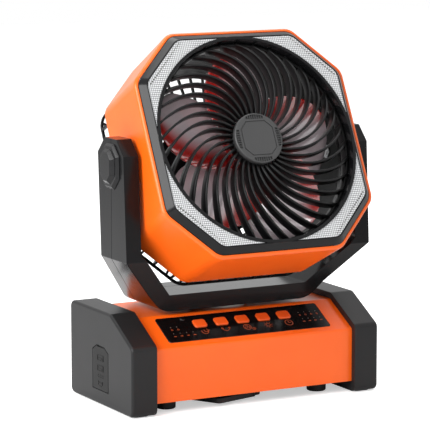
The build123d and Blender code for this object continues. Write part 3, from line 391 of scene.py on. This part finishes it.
paints = {name: makeFinish(name, **values) for name, values in finishes.items()}


# puts a varying tint in front of a finish's own colour, which shows where the share is 1
def tintFinish(material, color, share):
    tree = material.node_tree
    surface = next(node for node in tree.nodes if node.type == "GROUP")
    tint = tree.nodes.new("ShaderNodeMix")
    tint.data_type = "RGBA"
    tint.inputs["A"].default_value = (*color, 1)
    tree.links.new(share, tint.inputs["Factor"])
    tree.links.new(surface.outputs["Color"], tint.inputs["B"])
    tree.links.new(tint.outputs["Result"], tree.nodes["Principled BSDF"].inputs["Base Color"])


# the lens is pale, with a fine grid of prisms moulded in it that shows as dark lines
lensGrid = dict(pitch=1.85, lineEdge=0.12, lineStop=0.28, lineColor=(0.05, 0.05, 0.055), alpha=0.95)


def addPrisms(material):
    tree = material.node_tree
    place = tree.nodes.new("ShaderNodeTexCoord")
    turned = tree.nodes.new("ShaderNodeMapping")
    turned.inputs["Rotation"].default_value = (headTilt - pi / 2, 0, 0)
    tree.links.new(place.outputs["Object"], turned.inputs["Vector"])
    rows = tree.nodes.new("ShaderNodeSeparateXYZ")
    tree.links.new(turned.outputs["Vector"], rows.inputs["Vector"])
    least = tree.nodes.new("ShaderNodeMath")
    least.operation = "MINIMUM"
    for order, axis in enumerate(("X", "Y")):
        wave = tree.nodes.new("ShaderNodeMath")
        wave.operation = "PINGPONG"
        wave.inputs[1].default_value = lensGrid["pitch"] * mm / 2
        tree.links.new(rows.outputs[axis], wave.inputs[0])
        tree.links.new(wave.outputs[0], least.inputs[order])
    cells = tree.nodes.new("ShaderNodeMapRange")
    cells.inputs["From Min"].default_value = lensGrid["lineEdge"] * mm
    cells.inputs["From Max"].default_value = lensGrid["lineStop"] * mm
    tree.links.new(least.outputs[0], cells.inputs["Value"])
    tintFinish(material, lensGrid["lineColor"], cells.outputs["Result"])
    tree.nodes["Principled BSDF"].inputs["Alpha"].default_value = lensGrid["alpha"]


addPrisms(paints["lensClear"])

# a blade has a painted reflection, a pale pink sheen, from its leading edge to a share of its width, and is
# red from another share on
bladeLook = dict(
    sheenColor=(0.88, 0.74, 0.78), sheenTo=0.55, redFrom=0.85,
    coat=1.0, coatIndex=2.3, coatRough=0.08,
)


def paintBladeSheen(material):
    tree = material.node_tree
    place = tree.nodes.new("ShaderNodeUVMap")
    place.uv_map = "UVMap"
    across = tree.nodes.new("ShaderNodeSeparateXYZ")
    fade = tree.nodes.new("ShaderNodeMapRange")
    fade.interpolation_type = "SMOOTHSTEP"
    fade.inputs["From Min"].default_value = bladeLook["sheenTo"]
    fade.inputs["From Max"].default_value = bladeLook["redFrom"]
    tree.links.new(place.outputs["UV"], across.inputs["Vector"])
    tree.links.new(across.outputs["X"], fade.inputs["Value"])
    # the pale tint is a painted reflection of the bright surroundings, laid across the blade, not a colour of
    # its plastic
    tintFinish(material, bladeLook["sheenColor"], fade.outputs["Result"])
    shader = tree.nodes["Principled BSDF"]
    shader.inputs["Coat Weight"].default_value = bladeLook["coat"]
    shader.inputs["Coat IOR"].default_value = bladeLook["coatIndex"]
    shader.inputs["Coat Roughness"].default_value = bladeLook["coatRough"]


paintBladeSheen(paints["bladeRed"])

# solids that show as they are, by finish
plainNodes = {
    "blackSatin": ["base_floor", "hook_swivel_plate", "hanging_hook", "battery_trays"],
    "rubberBlack": ["cap_pads"],
    "boardGreen": ["control_board", "port_board"],
    "switchPale": ["tact_switches"],
    "cellBlue": ["battery_cells"],
    "bearingPlastic": ["pan_bearing", "pan_spindle", "pivot_washers", "shaft_bushes"],
    "steel": [
        "base_screws", "usb_sockets", "dc_jack", "swing_motor", "swing_motor_bracket", "spindle_ring",
        "swing_shaft", "pivot_bolts", "pivot_nuts", "yoke_screws", "motor_screws", "fan_motor", "rotor_shaft",
        "blade_nut", "hook_pin",
    ],
}
for paint, names in plainNodes.items():
    for name in names:
        nodes[name].data.materials.clear()
        nodes[name].data.materials.append(paints[paint])
print("materials ready")

# base
dressed("base_shell", "casingShell", "base", "casing", "casingOrange", edge=0.5)
for side in ("left", "right"):
    dressed(f"{side}_end_cap", f"{side}EndCap", "base", "black_plastic", "capBlack", edge=0.5, flatten=True)
dressed("control_panel", "panelInlay", "base", "gloss_panel", "panelGloss")
dressed("remote_eye", "remoteEye", "base", "black_plastic", "panelGloss")
dressed("rubber_feet", "rubberFeet", "base", "rubber", "rubberBlack")
for name in ("night", "swing", "speed", "light", "timer"):
    dressed(f"button_{name}", f"{name}Button", f"{name}_button", "buttons", "buttonOrange")
print("base ready")

# marks of the panel, thin raised prints just above its face: places are millimetres on the slope
marks = dict(level=0.26, thick=0.08, line=0.55, up=-6.6, pitch=21.7, shift=0.6, grow=1.25)


# a ring, or the part of one between two angles in degrees
def arcMark(x, y, radius, start=0, stop=360, line=marks["line"], steps=24):
    def bendOver(place):
        angle = radians(start + (place.x + 0.5) * (stop - start))
        reach = radius - place.y * line
        return Vector((x + reach * cos(angle), y + reach * sin(angle), marks["level"])) * mm

    piece = strip("arc", steps, 1)
    shapeBy(piece, bendOver)
    useModifier(piece, "SOLIDIFY", thickness=marks["thick"] * mm, offset=1)
    return piece


def barMark(x, y, length, width=marks["line"], turn=0):
    piece = block("bar", (length, width, marks["thick"]), (0, 0, marks["level"] + marks["thick"] / 2))
    piece.data.transform(shiftBy(x, y) @ Matrix.Rotation(radians(turn), 4, "Z"))
    return piece


def dotMark(x, y, radius):
    piece = drum("dot", radius, marks["level"], marks["level"] + marks["thick"], 12)
    piece.data.transform(shiftBy(x, y))
    return piece


# the pictograms below the buttons, then the small marks beside them, each drawn round its own middle
def moonMark():
    pieces = [arcMark(0, 0, 2.6, 150, 400), arcMark(1.5, 1.3, 1.9, 165, 345)]
    return pieces + [dotMark(2.2, 2.4, 0.4), dotMark(3.6, 1.2, 0.3)]


def swingMark():
    pieces = [arcMark(0, 1.4, 3.0, 190, 350)]
    for side in (-1, 1):
        pieces.append(barMark(3.2 * side, 1.4, 1.6, turn=-65 * side))
        pieces.append(barMark(2.2 * side, 1.2, 1.4, turn=30 * side))
    return pieces


def fanMark():
    pieces = [arcMark(0, 0, 2.9), dotMark(0, 0, 0.5)]
    pieces += roundAxis(arcMark(0, 1.25, 0.75, -10, 220, line=0.45, steps=10), 3)
    return pieces + [arcMark(4.4, -2.6, 1.2, line=0.4), dotMark(4.4, -2.6, 0.4)]


def sunMark():
    return [arcMark(0, 0, 1.6)] + roundAxis(barMark(2.8, 0, 1.1, 0.45), 8)


def clockMark():
    return [arcMark(0, 0, 3.0), barMark(0, 0.9, 1.9, turn=90), barMark(0.7, 0, 1.5)]


def batteryMark():
    return [barMark(0, 0, 2.2, 1.0), barMark(1.3, 0, 0.4, 0.6)]


def dropMark():
    return [arcMark(0, 0, 0.75, line=0.45), barMark(0, 1.1, 0.8, 0.4, 90)]


icons = []
for order, make in enumerate((moonMark, swingMark, fanMark, sunMark, clockMark)):
    icon = joined("icon", make())
    grown = Matrix.Diagonal((marks["grow"], marks["grow"], 1, 1))
    icon.data.transform(shiftBy((order - 2) * marks["pitch"] + marks["shift"], marks["up"]) @ grown)
    icons.append(icon)

# rows of small marks, with a pale dot above every mark
markRows = (
    dict(make=dropMark, count=2, first=-73.5, pitch=6.2, up=-0.6, dotUp=3.2),
    dict(make=batteryMark, count=4, first=-74.5, pitch=6.6, up=-9.6, dotUp=-5.6),
    dict(make=dropMark, count=4, first=60.0, pitch=6.0, up=2.0, dotUp=6.0),
    dict(make=batteryMark, count=4, first=60.0, pitch=6.0, up=-7.0, dotUp=-3.4),
)
dot = dotMark(0, 0, 0.5)
dots = []
for row in markRows:
    mark = joined("mark", row["make"]())
    for column in range(row["count"]):
        x = row["first"] + column * row["pitch"]
        icons.append(copyOf(mark, shiftBy(x, row["up"])))
        dots.append(copyOf(dot, shiftBy(x, row["dotUp"])))
    bpy.data.objects.remove(mark)
bpy.data.objects.remove(dot)
for name, pieces, paint in (("panelIcons", icons, "markOrange"), ("panelDots", dots, "dotPale")):
    printed = joined(name, pieces)
    printed.data.transform(slopePlace)
    finish(printed, "base", "buttons", paint)
print("panel marks ready")

# flap over the sockets, with raised bars on it: two framed sockets, three small marks and a bracket
dressed("port_cover", "portFlap", "flap", "rubber", "flapRubber", edge=0.3)
emboss = dict(rise=0.35, clear=0.05, line=0.7)
flapLow, flapHigh = (Vector(corner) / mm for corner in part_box("port_cover"))


# a bar on the flap, placed by its distance from the flap's middle line and from its lower edge
def flapBar(across, up, width=emboss["line"], height=emboss["line"]):
    place = (
        flapLow.x - emboss["rise"] / 2 + emboss["clear"],
        (flapLow.y + flapHigh.y) / 2 - across,
        flapLow.z + up,
    )
    return block("bar", (emboss["rise"], width, height), place)


pictures = []
for up in (29.5, 20.0):
    pictures += [flapBar(0, up + 2.4, width=11.5), flapBar(0, up - 2.4, width=11.5)]
    pictures += [flapBar(-5.7, up, height=5.4), flapBar(5.7, up, height=5.4), flapBar(0, up - 0.6, 7.5, 1.3)]
for across in (-4.6, 0, 4.6):
    pictures += [flapBar(across, 13.8, width=2.0), flapBar(across, 11.9, width=2.6)]
pictures += [flapBar(0, 6.4, width=8.0), flapBar(0, 3.6, width=5.0)]
pictures += [flapBar(-3.8, 6.4, height=3.4), flapBar(3.8, 6.4, height=3.4)]
finish(joined("flapPictures", pictures), "flap", "rubber", "flapRubber")
print("flap ready")

# yoke
for half in ("front", "rear"):
    dressed(f"yoke_{half}", f"{half}YokeHalf", "yoke", "black_plastic", "yokeBlack", edge=0.5, flatten=True)
for side in ("left", "right"):
    dressed(
        f"pivot_cover_{side}", f"{side}PivotCover", "yoke", "black_plastic", "coverBlack",
        edge=0.25, angle=20, flatten=True,
    )
print("yoke ready")

# head
dressed("head_shell", "headShell", "head", "casing", "casingOrange", edge=0.4)
dressed("front_bezel", "frontBezel", "head", "black_plastic", "bezelBlack", edge=0.5)
dressed("light_lens", "lampLens", "head", "lens", "lensClear", edge=0.3)
dressed("light_reflector", "lampReflector", "head", "reflector", "reflectorWhite")
dressed("led_boards", "ledBoards", "head", "board", "reflectorWhite")
dressed("led_chips", "ledChips", "head", "chip", "ledDark")

# a row of dark light-chip spots along the outer edge of each corner of the lens
spots = dict(reach=106.9, pitch=2.7, count=20, radius=0.65, face=48.1, rise=0.15, sides=10)
spot = drum("spot", spots["radius"], spots["face"], spots["face"] + spots["rise"], spots["sides"])
spotRow = []
for corner in range(4):
    turn = Matrix.Rotation(pi / 4 + pi / 2 * corner, 4, "Z")
    for step in range(spots["count"]):
        side = (step - (spots["count"] - 1) / 2) * spots["pitch"]
        spotRow.append(copyOf(spot, turn @ shiftBy(spots["reach"], side)))
bpy.data.objects.remove(spot)
lampSpots = joined("lampSpots", spotRow)
lampSpots.data.transform(headPlace)
finish(lampSpots, "head", "chip", "ledDark")
print("lamp ready")

# front grille: ribs over a crowned dome, a ring at the rim and a disc at the hub
grille = dict(
    ribs=36, sweep=40.3, bend=1.34, phase=-2.5, width=2.0, depth=9.5, steps=20, edge=0.45, rootSink=0.6,
    hub=24.0, hubFront=45.5, crown=66.0, crownFront=52.0, rim=95.2, rimFront=40.5, rimSink=0.4,
    ahead=0.5, ring=2.4, ringFront=39.5, ringBack=30.0, ringEdge=0.4,
    discFront=44.7, discBack=36.0, discEdge=0.3,
)


def ribAngle(radius):
    share = max(0.0, (radius - grille["hub"]) / (grille["rim"] - grille["hub"]))
    return radians(grille["phase"] + grille["sweep"] * share ** grille["bend"])


# the dome is one arc from the hub to the crown and another from the crown to the rim
def ribFront(radius):
    outward = radius > grille["crown"]
    end, front = (grille["rim"], grille["rimFront"]) if outward else (grille["hub"], grille["hubFront"])
    run, drop = abs(end - grille["crown"]), grille["crownFront"] - front
    arc = (run * run + drop * drop) / (2 * drop)
    return grille["crownFront"] - arc + sqrt(arc * arc - (radius - grille["crown"]) ** 2)


def ribShape(place):
    start, stop = grille["hub"] - grille["rootSink"], grille["rim"] - grille["rimSink"]
    radius = start + (place.x + 0.5) * (stop - start)
    further = radius + grille["ahead"]  # a point a little further out gives the rib's direction
    here, beyond = ribAngle(radius), ribAngle(further)
    middle = Vector((radius * cos(here), radius * sin(here)))
    along = Vector((further * cos(beyond), further * sin(beyond))) - middle
    across = Vector((-along.y, along.x)).normalized() * place.y * grille["width"]
    return Vector((middle.x + across.x, middle.y + across.y, ribFront(radius))) * mm


rib = strip("rib", grille["steps"], 1)
shapeBy(rib, ribShape)
useModifier(rib, "SOLIDIFY", thickness=grille["depth"] * mm, offset=-1)
roundEdges(rib, grille["edge"], 2, 60)
ring = tube("ring", grille["rim"], grille["ring"], grille["ringBack"], grille["ringFront"], 128)
roundEdges(ring, grille["ringEdge"], 2, 40)
disc = drum("disc", grille["hub"], grille["discBack"], grille["discFront"], 96)
roundEdges(disc, grille["discEdge"], 2, 40)
frontGrille = joined("frontGrille", roundAxis(rib, grille["ribs"]) + [ring, disc])
frontGrille.data.transform(headPlace)
smooth(frontGrille, 50)
finish(frontGrille, "head", "black_plastic", "ribBlack", "front_grille")
print("grille ready")

# hub cap: a disc with an octagonal flat set in a groove and four recesses with grip ribs
hub = dict(
    radius=23.7, back=44.7, front=49.8, edge=0.9, flat=15.5, corner=6.5,
    groove=0.9, grooveCorner=0.4, grooveDepth=0.7,
    recessOuter=22.4, recessInner=18.2, recessWidth=17.5, recessDepth=1.5, recessSpan=4.6,
    grips=7, gripPitch=2.2, gripWidth=0.7, gripHeight=0.9, gripDrop=0.25,
)
# how far a cutter reaches past the cap's face, and how far the pieces that trim a cutter do
cutterReach, trimReach = 2.0, 3.0


# a square block of some half width, with its upright edges cut off
def octagonPrism(half, cut, low, high):
    prism = block("prism", (2 * half, 2 * half, high - low), (0, 0, (low + high) / 2))
    choose(prism, "EDGE", lambda middle, way: abs(way.z) > 0.9)
    bpy.ops.mesh.bevel(offset=cut * mm, segments=1)
    leaveEdit()
    return prism


cap = drum("hubCap", hub["radius"], hub["back"], hub["front"], 128)
roundEdges(cap, hub["edge"], 3, 40)
groove = octagonPrism(
    hub["flat"] + hub["groove"], hub["corner"] + hub["grooveCorner"],
    hub["front"] - hub["grooveDepth"], hub["front"] + cutterReach,
)
carve(groove, octagonPrism(hub["flat"], hub["corner"], hub["front"] - trimReach, hub["front"] + trimReach))
carve(cap, groove)
# a recess is the part of a disc that lies outside one flat of the octagon
recess = drum("recess", hub["recessOuter"], hub["front"] - hub["recessDepth"], hub["front"] + cutterReach, 96)
keep = block(
    "keep", (hub["recessSpan"], hub["recessWidth"], 2 * trimReach),
    (hub["recessInner"] + hub["recessSpan"] / 2, 0, hub["front"]),
)
carve(recess, keep, "INTERSECT")
for cutter in roundAxis(recess, 4):
    carve(cap, cutter)
grips = []
for step in range(hub["grips"]):
    side = (step - (hub["grips"] - 1) / 2) * hub["gripPitch"]
    reach = sqrt(hub["recessOuter"] ** 2 - side ** 2) - hub["recessInner"]
    grips.append(block(
        "grip", (reach, hub["gripWidth"], hub["gripHeight"]),
        (hub["recessInner"] + reach / 2, side, hub["front"] - hub["gripHeight"] / 2 - hub["gripDrop"]),
    ))
hubCap = joined("hubCap", [cap] + roundAxis(joined("grips", grips), 4))
hubCap.data.transform(headPlace)
smooth(hubCap, 34)
finish(hubCap, "head", "black_plastic", "hubBlack", "hub_cap")
print("hub cap ready")

# a black duct liner between the bezel and the rear cage, a dark sheet that paints the deep shade inside the
# head, and the round plate that the motor is screwed to
duct = dict(
    outer=96.2, wall=0.8, front=21.0, back=-32.0,
    plate=56.0, plateFront=-46.0, plateBack=-47.2, plateEdge=0.3,
)
# painted shade: this black sheet hides the orange inside of the head where deep shade falls
ductShadeLiner = tube("ductShadeLiner", duct["outer"], duct["wall"], duct["back"], duct["front"], 128)
ductShadeLiner.data.transform(headPlace)
smooth(ductShadeLiner, 50)
finish(ductShadeLiner, "head", "black_plastic", "ductBlack")
motorPlate = drum("motorPlate", duct["plate"], duct["plateBack"], duct["plateFront"], 96)
roundEdges(motorPlate, duct["plateEdge"], 2, 40)
motorPlate.data.transform(headPlace)
smooth(motorPlate, 34)
finish(motorPlate, "head", "black_plastic", "ductBlack")

# fan rotor: swept blades on a hollow hub
rotor = dict(
    blades=5, root=20.5, tip=90.0, tipRound=6.0, low=3.0, high=27.0, camber=4.0, thick=1.8, edge=0.5,
    steps=14, rows=20, hub=22.0, hubBack=1.0, hubFront=29.0, hubRound=4.0, hubWall=2.4, hubTop=5.0,
)
# where a blade starts and stops, in degrees round the axis, at a few distances from it
bladeStart = ((20, 116), (45, 111), (60, 116), (70, 122), (82, 129), (90, 140))
bladeStop = ((20, 218), (39, 209), (54, 199), (68, 187), (78, 178), (90, 164))


def between(stations, radius):
    for (near, first), (far, second) in zip(stations, stations[1:]):
        if radius <= far:
            return first + (second - first) * (radius - near) / (far - near)
    return stations[-1][1]


def bladeShape(place):
    across, out = place.x + 0.5, place.y + 0.5
    corner = abs(2 * place.x) ** 6 * out ** 6  # grows near the tip's two corners, and rounds them
    radius = rotor["root"] + out * (rotor["tip"] - rotor["root"]) - rotor["tipRound"] * corner
    angle = radians((1 - across) * between(bladeStart, radius) + across * between(bladeStop, radius))
    bulge = 4 * rotor["camber"] * across * (1 - across)
    rise = rotor["low"] + (rotor["high"] - rotor["low"]) * across + bulge
    return Vector((radius * cos(angle), radius * sin(angle), rise)) * mm


blade = strip("blade", rotor["steps"], rotor["rows"])
shapeBy(blade, bladeShape)
useModifier(blade, "SOLIDIFY", thickness=rotor["thick"] * mm, offset=0)
roundEdges(blade, rotor["edge"], 2, 60)
core = drum("core", rotor["hub"], rotor["hubBack"], rotor["hubFront"], 96)
choose(core, "EDGE", lambda middle, way: middle.z > (rotor["hubFront"] - 0.1) * mm and abs(way.z) < 0.5)
bpy.ops.mesh.bevel(offset=rotor["hubRound"] * mm, segments=6)
leaveEdit()
choose(core, "FACE", lambda middle, way: way.z < -0.9)
bpy.ops.mesh.inset(thickness=rotor["hubWall"] * mm)
hollow = rotor["hubFront"] - rotor["hubBack"] - rotor["hubTop"]
bpy.ops.mesh.extrude_region_move(TRANSFORM_OT_translate={"value": (0, 0, hollow * mm)})
leaveEdit()
for corner in core.data.uv_layers["UVMap"].uv:
    corner.vector = (1, 1)  # the hub is red all over
fanRotor = joined("fanRotor", roundAxis(blade, rotor["blades"]) + [core])
fanRotor.data.transform(headPlace)
smooth(fanRotor, 34)
finish(fanRotor, "rotor", "blade", "bladeRed", "fan_blade")
print("rotor ready")

# rear cage: thin octagonal rims with posts between them, and a web of hoops and spokes that closes the back
cage = dict(
    half=102.0, cut=42.0, corner=7.2, back=-50.0, front=-32.6, rim=2.2, rimDepth=2.2,
    collarHalf=101.0, collarCut=40.0, collar=1.8, collarBack=-32.8, collarFront=-27.1,
    postWidth=2.2, postDepth=2.4, flatPosts=7, cornerPosts=3, web=1.9, webDepth=2.4,
    spokes=48, spokeRoot=30.0, spokeSink=0.3, rings=6, pitch=9.6, disc=34.0, discDepth=2.6, discEdge=0.4,
)
slant = (2 * cage["half"] - cage["cut"]) / sqrt(2)  # from the axis to a slanted side
webFront = cage["back"] + cage["webDepth"]


# the outer wall of an octagonal prism with rounded corners
def octagonBand(half, cut, width, low, high):
    band = octagonPrism(half, cut, low, high)
    choose(band, "EDGE", lambda middle, way: abs(way.z) > 0.9)
    bpy.ops.mesh.bevel(offset=cage["corner"] * mm, segments=4)
    leaveEdit()
    choose(band, "FACE", lambda middle, way: abs(way.z) > 0.9)
    bpy.ops.mesh.delete(type="FACE")
    leaveEdit()
    useModifier(band, "SOLIDIFY", thickness=width * mm, offset=-1)
    return band


cageParts = [
    octagonBand(cage["half"], cage["cut"], cage["rim"], cage["back"], cage["back"] + cage["rimDepth"]),
    octagonBand(cage["half"], cage["cut"], cage["rim"], cage["front"] - cage["rimDepth"], cage["front"]),
    octagonBand(
        cage["collarHalf"], cage["collarCut"], cage["collar"], cage["collarBack"], cage["collarFront"],
    ),
]
post = block(
    "post", (cage["postDepth"], cage["postWidth"], cage["front"] - cage["back"]),
    (0, 0, (cage["front"] + cage["back"]) / 2),
)
for side in range(8):
    flat = side % 2 == 0
    reach = cage["half"] if flat else slant
    length = 2 * (cage["half"] - cage["cut"]) if flat else cage["cut"] * sqrt(2)
    count = cage["flatPosts"] if flat else cage["cornerPosts"]
    for step in range(count):
        away = (step - (count - 1) / 2) * length / count
        turn = Matrix.Rotation(pi / 4 * side, 4, "Z")
        cageParts.append(copyOf(post, turn @ shiftBy(reach - cage["postDepth"] / 2, away)))
bpy.data.objects.remove(post)
for order in range(1, cage["rings"] + 1):
    radius = cage["disc"] + order * cage["pitch"]
    cageParts.append(tube("hoop", radius, cage["web"], cage["back"], webFront, 96))
for order in range(cage["spokes"]):
    turn = 2 * pi * order / cage["spokes"]
    straight, leaning = abs(cos(turn)), abs(sin(turn))
    edge = min(cage["half"] / max(straight, leaning), slant * sqrt(2) / (straight + leaning))
    reach = edge - cage["rim"] + cage["spokeSink"]
    spoke = block(
        "spoke", (reach - cage["spokeRoot"], cage["web"], cage["webDepth"]),
        ((reach + cage["spokeRoot"]) / 2, 0, (cage["back"] + webFront) / 2),
    )
    spoke.data.transform(Matrix.Rotation(turn, 4, "Z"))
    cageParts.append(spoke)
hubPlate = drum("hubPlate", cage["disc"], cage["back"], cage["back"] + cage["discDepth"], 96)
roundEdges(hubPlate, cage["discEdge"], 2, 40)
rearCage = joined("rearCage", cageParts + [hubPlate])
rearCage.data.transform(headPlace)
smooth(rearCage, 34)
finish(rearCage, "head", "black_plastic", "grilleBlack", "rear_grille")
print("rear cage ready")

# floor, sky, lights and camera, in metres
studio = dict(floorSize=8.0, floorGrey=0.86, floorRough=0.9, floorLift=0.5, skyGlow=0.55)
lights = dict(
    keyLight=dict(place=(-0.9, -1.6, 1.5), aim=(0, 0, 0.15), size=(1.2, 1.0), power=11.0),
    sideLight=dict(place=(-1.7, -0.5, 1.05), aim=(0, 0, 0.15), size=(1.4, 1.3), power=50.0),
    topLight=dict(place=(0.2, 0.5, 1.8), aim=(0, 0, 0.2), size=(1.4, 1.2), power=20.0),
)
view = dict(target=(0.00397, 0.02578, 0.16159), azimuth=-28.25, elevation=8.73, distance=2.4038, lens=217.2)


# a pale floor that glows a little where it is seen directly
def makeFloor():
    bpy.ops.object.select_all(action="DESELECT")
    bpy.ops.mesh.primitive_plane_add(size=studio["floorSize"], location=(0, 0, 0))
    floor = bpy.context.object
    floor.name = "floor"
    material = bpy.data.materials.new("floorWhite")
    material.use_nodes = True
    tree = material.node_tree
    shader = tree.nodes["Principled BSDF"]
    grey = studio["floorGrey"]
    shader.inputs["Base Color"].default_value = (grey, grey, grey, 1)
    shader.inputs["Roughness"].default_value = studio["floorRough"]
    shader.inputs["Emission Color"].default_value = (1, 1, 1, 1)
    path = tree.nodes.new("ShaderNodeLightPath")
    lift = tree.nodes.new("ShaderNodeMath")
    lift.operation = "MULTIPLY"
    lift.inputs[1].default_value = studio["floorLift"]
    tree.links.new(path.outputs["Is Camera Ray"], lift.inputs[0])
    tree.links.new(lift.outputs[0], shader.inputs["Emission Strength"])
    floor.data.materials.append(material)


# a sky that is white where it is seen, through glass and in reflections too, and dimmer as a light
def makeSky():
    world = bpy.data.worlds.new("studioSky")
    bpy.context.scene.world = world
    world.use_nodes = True
    tree = world.node_tree
    back = tree.nodes["Background"]
    path = tree.nodes.new("ShaderNodeLightPath")
    seen = path.outputs["Is Camera Ray"]
    for ray in ("Is Transmission Ray", "Is Glossy Ray"):
        either = tree.nodes.new("ShaderNodeMath")
        either.operation = "MAXIMUM"
        tree.links.new(seen, either.inputs[0])
        tree.links.new(path.outputs[ray], either.inputs[1])
        seen = either.outputs[0]
    level = tree.nodes.new("ShaderNodeMapRange")
    level.inputs["To Min"].default_value = studio["skyGlow"]
    level.inputs["To Max"].default_value = 1.0
    tree.links.new(seen, level.inputs["Value"])
    tree.links.new(level.outputs["Result"], back.inputs["Strength"])
    back.inputs["Color"].default_value = (1, 1, 1, 1)


def softLight(name, place, aim, size, power):
    bpy.ops.object.select_all(action="DESELECT")
    bpy.ops.object.light_add(type="AREA", location=place)
    lamp = bpy.context.object
    lamp.name = name
    lamp.data.shape = "RECTANGLE"
    lamp.data.size, lamp.data.size_y = size
    lamp.data.energy = power
    lamp.rotation_euler = (Vector(aim) - Vector(place)).to_track_quat("-Z", "Y").to_euler()


def makeCamera():
    turn, lift = radians(view["azimuth"]), radians(view["elevation"])
    back = Vector((sin(turn) * cos(lift), -cos(turn) * cos(lift), sin(lift)))
    bpy.ops.object.select_all(action="DESELECT")
    bpy.ops.object.camera_add(location=Vector(view["target"]) + back * view["distance"])
    camera = bpy.context.object
    camera.rotation_euler = back.to_track_quat("Z", "Y").to_euler()
    camera.data.lens = view["lens"]
    camera.data.sensor_width = 36
    bpy.context.scene.camera = camera


makeFloor()
makeSky()
for name, values in lights.items():
    softLight(name, **values)
makeCamera()
bpy.context.scene.view_settings.view_transform = "Standard"
print("stage ready")
